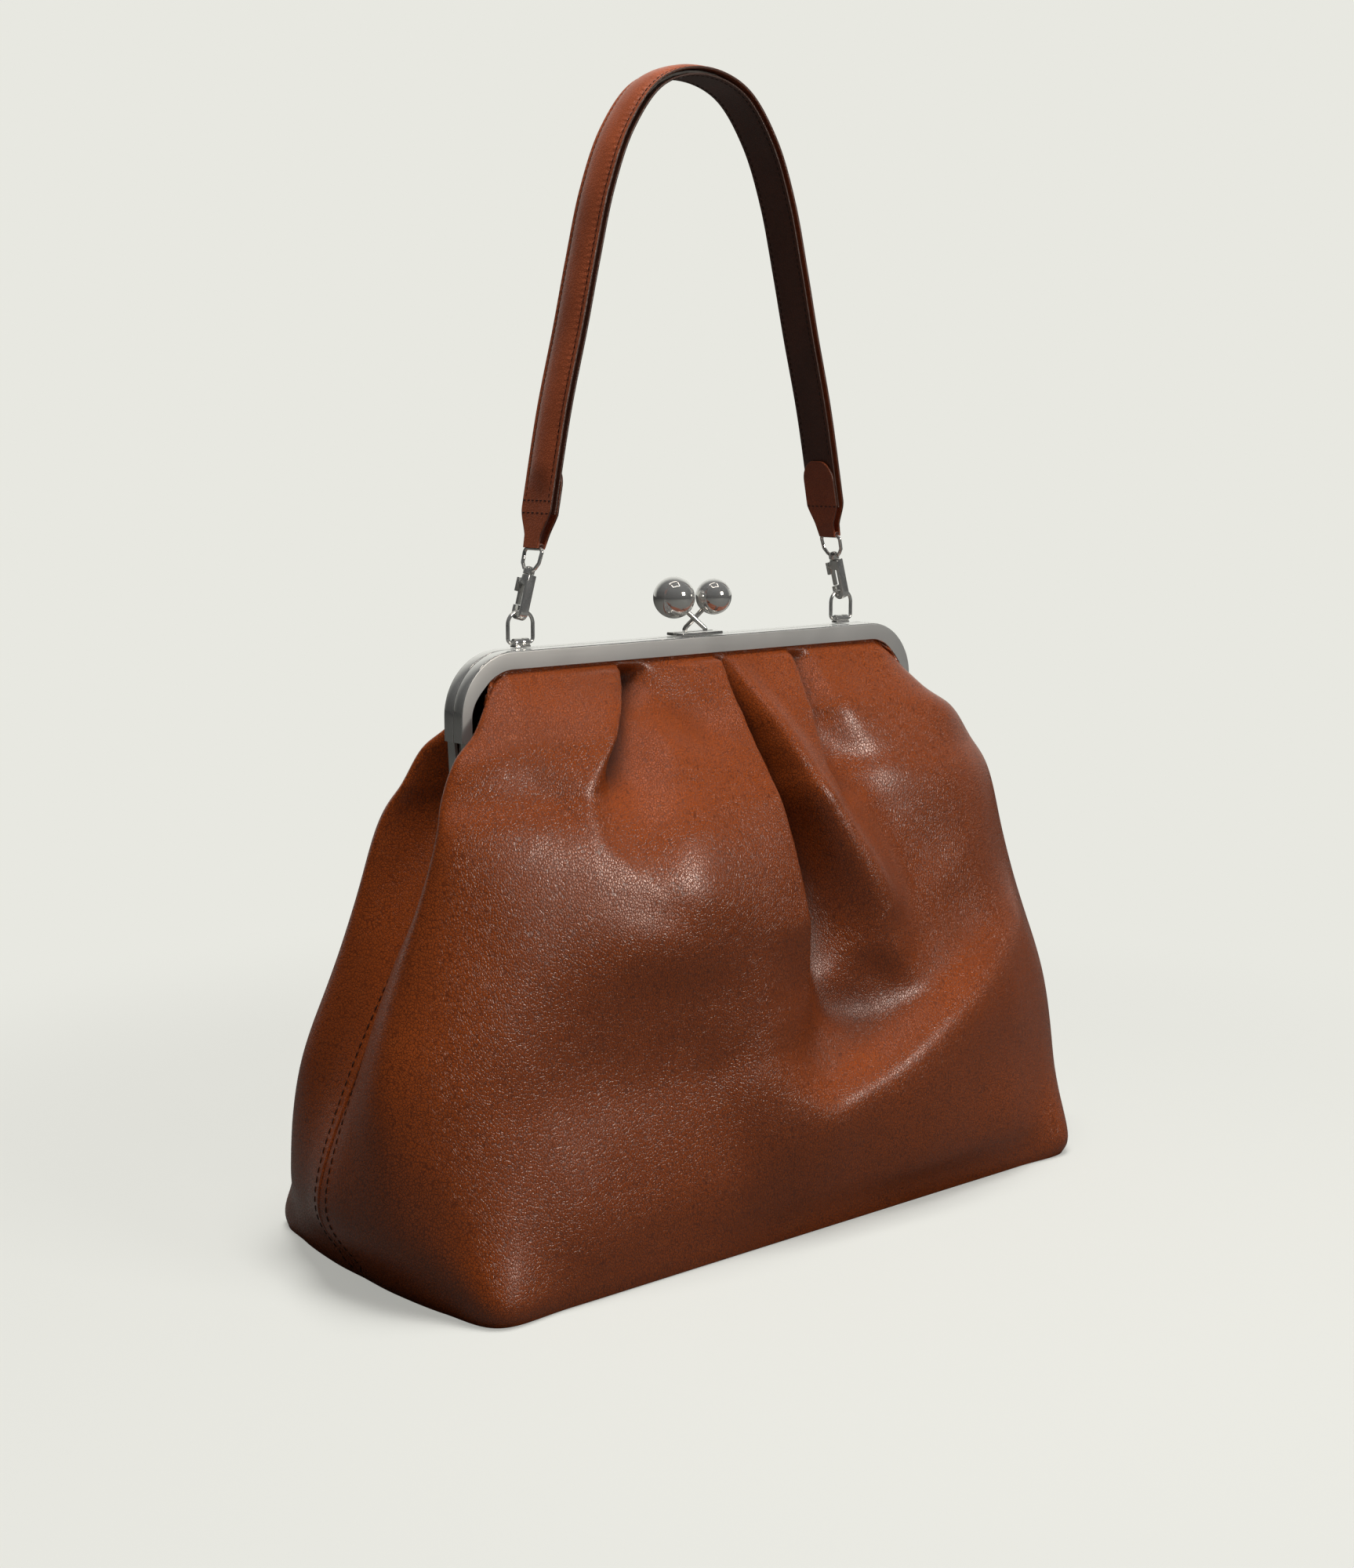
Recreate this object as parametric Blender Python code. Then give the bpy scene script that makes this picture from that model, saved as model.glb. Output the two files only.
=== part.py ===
"""A leather frame bag with a kiss clasp and a clip-on top handle.

Metres, +Z up, origin on the floor under the middle of the bag. The front faces -Y.
Two hinged metal frames carry the mouth, and a strap on two snap hooks carries the bag.
"""

import math

import bmesh
import bpy
from mathutils import Matrix, Vector

MM = 0.001

# Fits that several pieces share
FIT_GAP = 0.3 * MM
PIN_CLEARANCE = 0.15 * MM
CUT_OVERRUN = 2.0 * MM
ROUND_SIDES = 16
# Steps of the leather grid in each stretch from the left seam to the right one, and up each part
ACROSS_STEPS = (2, 2, 2, 2, 4, 4, 4, 4, 2, 2, 2, 2)
LOWER_UP_STEPS = 3
UPPER_UP_STEPS = 2

# Leather body
BASE_LENGTH = 400.0 * MM
BAG_DEPTH = 176.0 * MM
LEATHER = 1.6 * MM
LINING = 0.8 * MM
LINING_EASE = 1.6 * MM
LINING_RIM_DROP = 3.0 * MM
BASE_EASE = 0.5 * MM
BOARD = 2.4 * MM
BOARD_MARGIN = 7.0 * MM
PANEL_SPLIT_DROP = 6.0 * MM
FOLD_FADE = 16.0 * MM
CURVE_HOLD = 2.5

# Frame halves
FRAME_TOP = 280.0 * MM
FRAME_LENGTH = 288.0 * MM
FRAME_CORNER = 29.0 * MM
FRAME_BAND = 8.5 * MM
FRAME_HALF_DEPTH = 7.0 * MM
FRAME_EDGE = 0.8 * MM
CHANNEL_WALL = 1.0 * MM
CHANNEL_FLOOR = 2.5 * MM
ARM_BAND = 6.0 * MM
HINGE_DROP = 75.0 * MM
ARM_DROP = 40.0 * MM
FILLER = 1.4 * MM
FILLER_DEPTH = 3.0 * MM

# Hinge tabs and rivets
TAB = 1.4 * MM
TAB_RADIUS = 4.0 * MM
TAB_OVERLAP = 4.0 * MM
TAB_INSET = 1.4 * MM
RIVET_RADIUS = 1.5 * MM
RIVET_HEAD_RADIUS = 2.6 * MM
RIVET_HEAD = 0.8 * MM

# Kiss clasp
CLASP_PLATE_LENGTH = 26.0 * MM
CLASP_PLATE_WIDTH = 5.0 * MM
CLASP_PLATE = 1.6 * MM
PLATE_EDGE = 0.4 * MM
FRONT_BALL_RADIUS = 10.2 * MM
BACK_BALL_RADIUS = 8.8 * MM
BALL_PASS_GAP = 0.4 * MM
BALL_HEIGHT = 18.7 * MM
BALL_CROSSING = 3.5 * MM
STEM_RADIUS = 1.2 * MM
STEM_FOOT = 3.4 * MM

# Handle rings and their lugs
RING_INSET = 41.0 * MM
RING_WIDTH = 16.0 * MM
RING_HEIGHT = 16.0 * MM
RING_WIRE_RADIUS = 0.9 * MM
RING_FOOT_CORNER = 2.2 * MM
RING_TOP_CORNER = 5.5 * MM
LUG_RADIUS = 2.1 * MM
LUG_LENGTH = 8.5 * MM
LUG_FOOT_WIDTH = 4.6 * MM
LUG_FOOT = 1.0 * MM
LUG_BORE_CLEARANCE = 0.3 * MM

# Snap hooks, measured along the hook from the middle of the ring's top wire
HOOK_LEAN = math.radians(16.0)
HOOK_WIDTH = 7.4 * MM
HOOK_THICKNESS = 4.4 * MM
HOOK_WALL = 1.9 * MM
HOOK_THROAT = 12.0 * MM
HOOK_NOSE = 3.0 * MM
HOOK_BLOCK = 5.4 * MM
GATE_THICKNESS = 2.0 * MM
GATE_PIN_RADIUS = 0.6 * MM
GATE_LOBE_RADIUS = 1.5 * MM
GATE_PIN_RISE = 2.2 * MM
GATE_THUMB_LENGTH = 6.4 * MM
GATE_THUMB = 1.5 * MM
GATE_LEG = 1.3 * MM
STUD_RADIUS = 1.3 * MM
STUD_HEAD_RADIUS = 2.1 * MM
STUD_HEAD = 1.0 * MM
EYE_COLLAR_RADIUS = 2.7 * MM
EYE_COLLAR = 2.4 * MM
EYE_WIRE_RADIUS = 0.9 * MM
EYE_WIDTH = 15.0 * MM
EYE_RISE = 11.0 * MM
EYE_CORNER = 2.0 * MM
EYE_SHOULDER = 1.7 * MM

# Strap
STRAP_WIDTH = 22.0 * MM
STRAP_RISE = 269.0 * MM
STRAP_OUTER = 1.2 * MM
STRAP_INNER = 1.0 * MM
STRAP_CORE = 1.4 * MM
STRAP_CORE_MARGIN = 3.5 * MM
STRAP_EDGE = 0.3 * MM
TAB_NECK_WIDTH = 11.0 * MM
TAB_NECK_LENGTH = 2.75 * MM
TAB_TAPER = 16.0 * MM
TAB_RETURN = 40.0 * MM
TAB_TIP_SHARE = 0.25
STRAP_CORE_START = 22.0 * MM
STRAP_INNER_START = 15.0 * MM

# Places that follow from the sizes above
HALF_FRAME = FRAME_LENGTH / 2
HALF_BASE = BASE_LENGTH / 2
HALF_DEPTH = BAG_DEPTH / 2
RING_SPACING = FRAME_LENGTH - 2 * RING_INSET
HINGE_Z = FRAME_TOP - HINGE_DROP
ARM_END_Z = FRAME_TOP - ARM_DROP
SPLIT_Z = HINGE_Z - PANEL_SPLIT_DROP
BAND_EDGE_Z = FRAME_TOP - FRAME_BAND
FRAME_NEAR = FIT_GAP / 2
FRAME_FAR = FRAME_NEAR + FRAME_HALF_DEPTH
FRAME_MIDDLE = (FRAME_NEAR + FRAME_FAR) / 2
LEATHER_IN_CHANNEL = FRAME_FAR - CHANNEL_WALL - FIT_GAP
FILLER_FAR = LEATHER_IN_CHANNEL - LEATHER - FIT_GAP
LINING_IN_CHANNEL = FILLER_FAR - FILLER - FIT_GAP
LEATHER_ON_ARM = FRAME_FAR + FIT_GAP + LEATHER
RING_AXIS_Z = FRAME_TOP + FIT_GAP + LUG_RADIUS
RING_TOP_Z = RING_AXIS_Z + RING_HEIGHT - 2 * RING_WIRE_RADIUS
HOOK_BASE = (RING_WIRE_RADIUS + FIT_GAP + HOOK_THICKNESS / 2 * math.sin(HOOK_LEAN)) / math.cos(HOOK_LEAN)
HOOK_TOP = HOOK_THROAT + HOOK_BLOCK
COLLAR_BASE = HOOK_TOP + FIT_GAP
COLLAR_TOP = COLLAR_BASE + EYE_COLLAR
EYE_BAR = COLLAR_BASE + EYE_COLLAR / 2 + EYE_RISE

# The front panel's outer face, seam to centre. Each row is a height share, then the
# x share of half the base and the y share of half the depth at seven columns.
LOWER_ROW_SHARES = (
    (0.00, ((0.985, 0), (0.985, 0.28), (0.965, 0.66), (0.918, 0.985), (0.73, 1.0), (0.40, 1.0), (0, 1.0))),
    (0.05, ((1.02, 0), (1.02, 0.28), (0.99, 0.66), (0.93, 1.0), (0.74, 1.015), (0.41, 1.015), (0, 1.015))),
    (0.20, ((1.10, 0), (1.095, 0.24), (1.05, 0.58), (0.935, 0.86), (0.75, 0.985), (0.42, 1.03), (0, 1.04))),
    (0.45, ((1.00, 0), (1.05, 0.20), (1.055, 0.48), (0.93, 0.75), (0.74, 0.90), (0.42, 0.98), (0, 1.0))),
    (0.72, ((0.84, 0), (0.935, 0.17), (0.97, 0.40), (0.86, 0.62), (0.69, 0.75), (0.39, 0.82), (0, 0.85))),
)
# Above the split the x shares are of half the frame, and heights run from the split to the band's edge.
SPLIT_ROW_SHARES = ((0.93, 0), (1.07, 0.18), (1.23, 0.37), (1.10, 0.52), (0.86, 0.60), (0.50, 0.64), (0, 0.66))
UPPER_ROW_SHARES = (
    (0.28, ((0.95, None), (1.03, 0.175), (1.17, 0.30), (1.04, 0.42), (0.825, 0.48), (0.465, 0.51), (0, 0.525))),
    (0.50, ((0.95, None), (1.0, 0.165), (1.10, 0.255), (1.0, 0.345), (0.80, 0.385), (0.45, 0.41), (0, 0.42))),
    (0.66, ((0.945, None), (0.95, 0.135), (0.99, 0.19), (0.93, 0.255), (0.78, 0.30), (0.44, 0.32), (0, 0.325))),
)
# How far each row of the back panel's sides stands in from the front one's, lowest row first
BACK_TUCK_SHARES = (0, 0.01, 0.03, 0.045, 0.06, 0.08, 0.09, 0.085, 0.07)
BACK_TUCK_COLUMNS = (1, 2, 3)
# Where the panel meets the frame: the corner's angle, and the depth below the outline as a share of its radius.
UNDER_BAND_DEGREES = (20.0, 38.0, 54.0, 76.0)
UNDER_BAND_SHARES = (0.38, 0.38, 0.36, 0.33)
IN_BAND_DEGREES = (32.0, 46.0, 60.0, 77.0)
IN_BAND_SHARES = (0.34, 0.34, 0.33, 0.14)
BAND_RUN_SHARES = (0.44, 0.0)
# On the straight run the depths are in band widths.
BAND_SEAT_SHARE = 0.45
UNDER_BAND_SHARE = 1.12

# The front leather's main folds. Each is a line down or across the panel, in x shares of half the frame and height
# shares of the frame's top; then how far each of its points stands out, or in below zero, and the fold's half
# width, both in shares of half the depth.
FRONT_FOLDS = (
    (  # crown of the section left of the middle pleat
        ((-0.208, 0.857), (-0.361, 0.714), (-0.486, 0.536), (-0.514, 0.321)),
        (0, 0.114, 0.125, 0),
        0.477,
    ),
    (  # edge of the first pleat
        ((-0.382, 0.95), (-0.458, 0.914), (-0.556, 0.868), (-0.694, 0.807)),
        (0.045, 0.08, 0.08, 0),
        0.159,
    ),
    (  # hollow under the puffed top
        ((-0.326, 0.929), (-0.25, 0.9), (-0.153, 0.882), (-0.042, 0.871)),
        (0, -0.114, -0.136, 0),
        0.125,
    ),
    (  # valley of the middle pleat
        ((0.09, 0.936), (0.097, 0.879), (0.118, 0.764), (0.146, 0.643), (0.153, 0.536), (0.125, 0.4)),
        (0, -0.102, -0.159, -0.17, -0.148, 0),
        0.159,
    ),
    (  # rolled crest beside it
        ((0.125, 0.921), (0.16, 0.861), (0.215, 0.757), (0.319, 0.65), (0.41, 0.557), (0.375, 0.436)),
        (0, 0.102, 0.136, 0.136, 0.114, 0),
        0.17,
    ),
    (  # hollow of the third pleat
        ((0.396, 0.943), (0.396, 0.875), (0.417, 0.779), (0.431, 0.679)),
        (0, -0.102, -0.102, 0),
        0.148,
    ),
    (  # cupped hollow
        ((0, 0.479), (0.097, 0.368), (0.236, 0.354), (0.375, 0.386), (0.639, 0.486)),
        (0, -0.148, -0.193, -0.148, 0),
        0.205,
    ),
    (  # ridge round the belly
        (
            (-0.486, 0.4), (-0.306, 0.329), (-0.153, 0.25), (0.014, 0.214), (0.208, 0.25),
            (0.403, 0.289), (0.611, 0.332), (0.861, 0.386), (1.139, 0.436),
        ),
        (0, 0.045, 0.068, 0.091, 0.091, 0.091, 0.08, 0.057, 0),
        0.205,
    ),
    (  # sag low on the left
        ((-1.389, 0.214), (-1.146, 0.261), (-0.868, 0.279), (-0.625, 0.286), (-0.382, 0.3)),
        (0, -0.091, -0.114, -0.08, 0),
        0.193,
    ),
)

# The strap's middle line: x share of half the ring spacing and height share of the strap's rise.
STRAP_ROUTE_SHARES = (
    (0.885, 0.24),
    (0.80, 0.40),
    (0.705, 0.54),
    (0.632, 0.655),
    (0.548, 0.775),
    (0.43, 0.88),
    (0.25, 0.96),
    (0.0, 0.986),
)

# How far an empty's cross shows
PIVOT_SIZE = 12.0 * MM

LEATHER_BROWN = (0.27, 0.075, 0.026)
STRAP_BROWN = (0.19, 0.055, 0.026)
LINING_TAN = (0.24, 0.17, 0.11)
BOARD_GREY = (0.20, 0.18, 0.16)
NICKEL = (0.78, 0.77, 0.74)
SATIN_NICKEL = (0.70, 0.69, 0.66)


def clear_scene():
    for obj in list(bpy.data.objects):
        bpy.data.objects.remove(obj)


def make_material(name, color, roughness, metallic):
    material = bpy.data.materials.new(name)
    material.use_nodes = True
    shader = material.node_tree.nodes["Principled BSDF"]
    shader.inputs["Base Color"].default_value = (*color, 1)
    shader.inputs["Roughness"].default_value = roughness
    shader.inputs["Metallic"].default_value = metallic
    return material


def add_mesh(name, bm, material, sharp_angle=math.radians(35)):
    bmesh.ops.recalc_face_normals(bm, faces=bm.faces)
    mesh = bpy.data.meshes.new(name)
    bm.to_mesh(mesh)
    bm.free()
    mesh.shade_smooth()
    mesh.set_sharp_from_angle(angle=sharp_angle)
    if material:
        mesh.materials.append(material)
    obj = bpy.data.objects.new(name, mesh)
    bpy.context.scene.collection.objects.link(obj)
    return obj


def loft(name, rings, material, closed_path=False):
    """A closed solid through rings of points, with its ends capped unless the path closes."""
    bm = bmesh.new()
    rows = [[bm.verts.new(point) for point in ring] for ring in rings]
    count = len(rows[0])
    pairs = list(zip(rows, rows[1:]))
    if closed_path:
        pairs.append((rows[-1], rows[0]))
    for low, high in pairs:
        for k in range(count):
            m = (k + 1) % count
            bm.faces.new((low[k], low[m], high[m], high[k]))
    if not closed_path:
        bm.faces.new(rows[0])
        bm.faces.new(reversed(rows[-1]))
    return add_mesh(name, bm, material)


def box_rings(half_x, half_y, low_z, high_z, edge, center):
    """Rings of a plate with its upper and lower edges eased."""
    rings = []
    for z, inset in ((low_z, edge), (low_z + edge, 0), (high_z - edge, 0), (high_z, edge)):
        x, y = half_x - inset, half_y - inset
        rings.append(
            [center + Vector((sx * x, sy * y, z)) for sx, sy in ((-1, -1), (1, -1), (1, 1), (-1, 1))]
        )
    return rings


def circle_ring(center, radius, across, along, sides=ROUND_SIDES):
    return [
        center
        + across * (radius * math.cos(2 * math.pi * k / sides))
        + along * (radius * math.sin(2 * math.pi * k / sides))
        for k in range(sides)
    ]


def turned(name, base, axis, profile, material, sides=ROUND_SIDES):
    """A turned piece: the profile lists height along the axis and radius."""
    axis = axis.normalized()
    across = axis.orthogonal().normalized()
    along = axis.cross(across)
    rings = [circle_ring(base + axis * height, radius, across, along, sides) for height, radius in profile]
    return loft(name, rings, material)


def tube_along(name, points, radius, material, closed_path=False, sides=10, plane_normal=None):
    """A round wire through points, its sections kept upright to one plane where a normal is given."""
    rings = []
    count = len(points)
    for k, point in enumerate(points):
        if closed_path:
            before, after = points[k - 1], points[(k + 1) % count]
        else:
            before, after = points[max(k - 1, 0)], points[min(k + 1, count - 1)]
        tangent = (after - before).normalized()
        normal = plane_normal if plane_normal else tangent.orthogonal()
        across = (normal - tangent * normal.dot(tangent)).normalized()
        rings.append(circle_ring(point, radius, across, tangent.cross(across), sides))
    return loft(name, rings, material, closed_path)


def apply_boolean(obj, other, operation):
    modifier = obj.modifiers.new("cut", "BOOLEAN")
    modifier.operation = operation
    modifier.object = other
    graph = bpy.context.evaluated_depsgraph_get()
    mesh = bpy.data.meshes.new_from_object(obj.evaluated_get(graph))
    obj.modifiers.clear()
    obj.data = mesh
    mesh.shade_smooth()
    mesh.set_sharp_from_angle(angle=math.radians(35))
    bpy.data.objects.remove(other)


def catmull(points, samples):
    """A smooth curve through the points, with a number of steps for all the stretches or one for each."""
    out = []
    last = len(points) - 1
    counts = samples if isinstance(samples, tuple) else (samples,) * last
    tangents = [curve_tangent(points[max(0, k - 1)], points[k], points[min(last, k + 1)]) for k in range(last + 1)]
    for k, count in enumerate(counts):
        a, b, ta, tb = points[k], points[k + 1], tangents[k], tangents[k + 1]
        for step in range(count):
            t = step / count
            bend = (2 * a - 2 * b + ta + tb) * t + 3 * b - 3 * a - 2 * ta - tb
            out.append(a + (ta + bend * t) * t)
    out.append(points[-1].copy())
    return out


def curve_tangent(before, here, after):
    """The curve's direction at a point, held back where a short stretch meets a long one, so it can't double back."""
    full = (after - before) / 2
    most = CURVE_HOLD * min((here - before).length, (after - here).length)
    return full * (most / full.length) if 0 < most < full.length else full


def frame_corner_point(degrees, depth, side=-1):
    """A point of the frame's outline at a corner angle above the horizontal, taken in by depth."""
    angle = math.radians(degrees)
    reach = FRAME_CORNER - depth
    x = HALF_FRAME - FRAME_CORNER + reach * math.cos(angle)
    z = FRAME_TOP - FRAME_CORNER + reach * math.sin(angle)
    return side * x, z


def lower_rows():
    rows = []
    for height_share, columns in LOWER_ROW_SHARES:
        rows.append(
            [Vector((-HALF_BASE * x, -max(HALF_DEPTH * y, FIT_GAP), HINGE_Z * height_share)) for x, y in columns]
        )
    rows.append([Vector((-HALF_FRAME * x, -max(HALF_DEPTH * y, FIT_GAP), SPLIT_Z)) for x, y in SPLIT_ROW_SHARES])
    return rows


def frame_row(degrees, depth_shares, run_depth, outward):
    """The row of the panel that follows the frame: arm, corner, then the straight band."""
    row = []
    for angle, share, y in zip(degrees, depth_shares, outward):
        x, z = frame_corner_point(angle, FRAME_CORNER * share)
        row.append(Vector((x, -y, z)))
    run = [-(HALF_FRAME - FRAME_CORNER)] + [-HALF_FRAME * share for share in BAND_RUN_SHARES]
    return row + [Vector((x, -outward[-1], FRAME_TOP - run_depth)) for x in run]


def upper_rows():
    rows = [lower_rows()[-1]]
    for share, columns in UPPER_ROW_SHARES:
        z = SPLIT_Z + (BAND_EDGE_Z - SPLIT_Z) * share
        rows.append(
            [
                Vector((-HALF_FRAME * x, -(LEATHER_ON_ARM if y is None else HALF_DEPTH * y), z))
                for x, y in columns
            ]
        )
    return rows


def mirrored_row(row):
    """A half row from the left seam to the centre, continued to the right seam."""
    return row + [Vector((-p.x, p.y, p.z)) for p in reversed(row[:-1])]


def surface_grid(rows, up_steps, seat_row=None):
    """The smooth surface through control rows, as grid rows from the bottom up, with a straight run to a seat."""
    wide = [catmull(mirrored_row(row), ACROSS_STEPS) for row in rows]
    columns = [catmull(list(column), up_steps) for column in zip(*wide)]
    grid = [list(row) for row in zip(*columns)]
    if seat_row:
        grid.append(catmull(mirrored_row(seat_row), ACROSS_STEPS))
    return grid


def panel_grid(part, back):
    """The outer face of one part of the front or back leather, both turned to the front."""
    if part == "lower":
        rows = lower_rows()
        grid = surface_grid(tuck_in(rows, BACK_TUCK_SHARES) if back else rows, LOWER_UP_STEPS)
        return grid if back else folded(grid)
    rows = neck_rows()
    if back:
        tuck_in(rows, BACK_TUCK_SHARES[len(LOWER_ROW_SHARES) :])
    grid = surface_grid(rows, UPPER_UP_STEPS, seat_row())
    if not back:
        grid = folded(grid)
    grid[0] = [p + Vector((0, 0, FIT_GAP)) for p in grid[0]]
    return grid


def fold_height(x, z):
    """How far the folds bring the front leather forward at this place."""
    place = Vector((x, z))
    total = 0.0
    for line, heights, width in FRONT_FOLDS:
        points = [Vector((HALF_FRAME * u, FRAME_TOP * v)) for u, v in line]
        nearest = []
        for k, (start, end) in enumerate(zip(points, points[1:])):
            run = end - start
            share = max(0.0, min(1.0, (place - start).dot(run) / run.length_squared))
            away = (place - start - run * share).length
            nearest.append((away, heights[k] + (heights[k + 1] - heights[k]) * share))
        away, height = min(nearest)
        total += HALF_DEPTH * height * math.exp(-((away / (HALF_DEPTH * width)) ** 2))
    return total


def folded(grid):
    """Lays the folds into the front leather; they fade out at the floor and under the band."""
    out = []
    for row in grid:
        line = []
        for p in row:
            fade = min(p.z / FOLD_FADE, (BAND_EDGE_Z - p.z) / FOLD_FADE, 1.0)
            height = fold_height(p.x, p.z) * fade if fade > 0 else 0
            line.append(p - Vector((0, height, 0)))
        out.append(line)
    return out


def grid_normals(grid):
    last_row, last_column = len(grid) - 1, len(grid[0]) - 1
    normals = []
    for i, row in enumerate(grid):
        line = []
        for j, _ in enumerate(row):
            across = grid[i][min(j + 1, last_column)] - grid[i][max(j - 1, 0)]
            up = grid[min(i + 1, last_row)][j] - grid[max(i - 1, 0)][j]
            line.append(across.cross(up).normalized())
        normals.append(line)
    return normals


def offset_grid(grid, normals, distance):
    """The surface taken in by a distance, with its two side edges kept on their own half of the bag."""
    inner = [[p - n * distance for p, n in zip(row, line)] for row, line in zip(grid, normals)]
    for row, source in zip(inner, grid):
        for end in (0, -1):
            row[end].y = min(row[end].y, source[end].y)
    return inner


def flip_depth(grid):
    """The same surface on the back of the bag, with its columns turned round so that it still faces out."""
    return [[Vector((-p.x, -p.y, p.z)) for p in row] for row in grid]


def shell_between(name, outer, inner, material):
    """A sheet with two faces and its four edges closed."""
    bm = bmesh.new()
    sides = [[[bm.verts.new(p) for p in row] for row in grid] for grid in (outer, inner)]
    rows, columns = len(outer), len(outer[0])
    for side in sides:
        for i in range(rows - 1):
            for j in range(columns - 1):
                bm.faces.new((side[i][j], side[i][j + 1], side[i + 1][j + 1], side[i + 1][j]))
    rim = [(0, j) for j in range(columns)] + [(i, columns - 1) for i in range(1, rows)]
    rim += [(rows - 1, j) for j in range(columns - 2, -1, -1)] + [(i, 0) for i in range(rows - 2, 0, -1)]
    for (i, j), (m, n) in zip(rim, rim[1:] + rim[:1]):
        bm.faces.new((sides[0][i][j], sides[0][m][n], sides[1][m][n], sides[1][i][j]))
    return add_mesh(name, bm, material)


def build_panels(material):
    """Front and back leather, each in a lower part that stands and an upper part that its frame carries."""
    for half, back in (("front", False), ("back", True)):
        for part in ("lower", "upper"):
            grid = panel_grid(part, back)
            inner = offset_grid(grid, grid_normals(grid), LEATHER)
            level_ends = (0, -1) if part == "lower" else (0,)
            for end in level_ends:
                inner[end] = [Vector((p.x, p.y, q.z)) for p, q in zip(inner[end], grid[end])]
            if part == "upper":
                for end in (-2, -1):
                    inner[end] = [p + Vector((0, LEATHER, 0)) for p in grid[end]]
            if back:
                grid, inner = flip_depth(grid), flip_depth(inner)
            shell_between(f"{half}_panel_{part}", grid, inner, material)


def channel_depths():
    """How far forward the leather lies at the four corner columns, two beside the arm and two in the channel."""
    return LEATHER_ON_ARM, LEATHER_ON_ARM, LEATHER_IN_CHANNEL, LEATHER_IN_CHANNEL


def neck_rows():
    """Rows from the split up to the channel's mouth."""
    rows = upper_rows()
    run_depth = FRAME_BAND * UNDER_BAND_SHARE
    rows.append(frame_row(UNDER_BAND_DEGREES, UNDER_BAND_SHARES, run_depth, channel_depths()))
    return rows


def tuck_in(rows, tuck_shares):
    """Brings the sides of the back panel in, row by row, between its seam and its face."""
    for row, share in zip(rows, tuck_shares):
        for column in BACK_TUCK_COLUMNS:
            row[column].x *= 1 - share
    return rows


def seat_row():
    """The leather's upper edge, seated in the channel."""
    return frame_row(IN_BAND_DEGREES, IN_BAND_SHARES, FRAME_BAND * BAND_SEAT_SHARE, channel_depths())


def base_outline(inset):
    """The floor outline taken in from the panels' outer faces."""
    front = catmull(mirrored_row(lower_rows()[0]), ACROSS_STEPS)
    loop = front + [Vector((-p.x, -p.y, p.z)) for p in front]
    count = len(loop)
    inner = []
    for k, point in enumerate(loop):
        tangent = loop[(k + 1) % count] - loop[k - 1]
        normal = Vector((tangent.y, -tangent.x, 0)).normalized()
        inner.append(point - normal * inset)
    return inner


def flat_plate(name, outline, low_z, high_z, material):
    rings = [[Vector((p.x, p.y, z)) for p in outline] for z in (low_z, high_z)]
    return loft(name, rings, material)


def build_base(leather, board):
    flat_plate("base_panel", base_outline(LEATHER + FIT_GAP + BASE_EASE), 0, LEATHER, leather)
    low = LEATHER + FIT_GAP
    flat_plate("base_board", base_outline(LEATHER + BOARD_MARGIN), low, low + BOARD, board)


def build_lining(material):
    """The lining bag stands on the board, and its two upper flaps go into the frame with the leather."""
    floor_z = LEATHER + FIT_GAP + BOARD + FIT_GAP
    shells = []
    for depth, low in ((LEATHER + LINING_EASE, floor_z), (LEATHER + LINING_EASE + LINING, floor_z + LINING)):
        halves = []
        for back in (False, True):
            grid = panel_grid("lower", back)
            halves.append(offset_grid(grid, grid_normals(grid), depth))
        loops = [front + [Vector((-p.x, -p.y, p.z)) for p in rear] for front, rear in zip(*halves)]
        rings = [[Vector((p.x, p.y, low)) for p in loops[0]]]
        for loop in loops[1:-1]:
            if low < min(p.z for p in loop) and max(p.z for p in loop) < SPLIT_Z - 2 * LINING_RIM_DROP:
                rings.append(loop)
        below = [p.z for p in loops[-2]]
        share = LINING_RIM_DROP / (SPLIT_Z - sum(below) / len(below))
        rings.append([p.lerp(q, share) for p, q in zip(loops[-1], loops[-2])])
        shells.append(rings)
    bucket("lining_bag", *shells, material)
    build_lining_flaps(material)


def bucket(name, outer, inner, material):
    """A thin-walled vessel closed at the bottom and open at the top."""
    bm = bmesh.new()
    shells = [[[bm.verts.new(p) for p in ring] for ring in rings] for rings in (outer, inner)]
    count = len(outer[0])
    for shell in shells:
        for low, high in zip(shell, shell[1:]):
            for k in range(count):
                m = (k + 1) % count
                bm.faces.new((low[k], low[m], high[m], high[k]))
        bm.faces.new(shell[0])
    for k in range(count):
        m = (k + 1) % count
        bm.faces.new((shells[0][-1][k], shells[0][-1][m], shells[1][-1][m], shells[1][-1][k]))
    return add_mesh(name, bm, material)


def build_lining_flaps(material):
    """The lining's upper edge on each side, from just above the lining bag into the channel."""
    edge = sum(ACROSS_STEPS[: len(IN_BAND_DEGREES)])
    for half, back in (("front", False), ("back", True)):
        whole = panel_grid("upper", back)
        normals = grid_normals(whole)
        depth = LEATHER + LINING_EASE
        faces = (whole, offset_grid(whole, normals, depth), offset_grid(whole, normals, depth + LINING))
        grid, near, far = ([row[edge : len(row) - edge] for row in face] for face in faces)
        for face in (near, far):
            face[0] = [Vector((p.x, p.y, q.z)) for p, q in zip(face[0], grid[0])]
        for i in (-2, -1):
            near[i] = [Vector((p.x, -LINING_IN_CHANNEL, p.z)) for p in grid[i]]
            far[i] = [Vector((p.x, -LINING_IN_CHANNEL + LINING, p.z)) for p in grid[i]]
        if back:
            near, far = flip_depth(near), flip_depth(far)
        shell_between(f"{half}_lining_flap", near, far, material)


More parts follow.
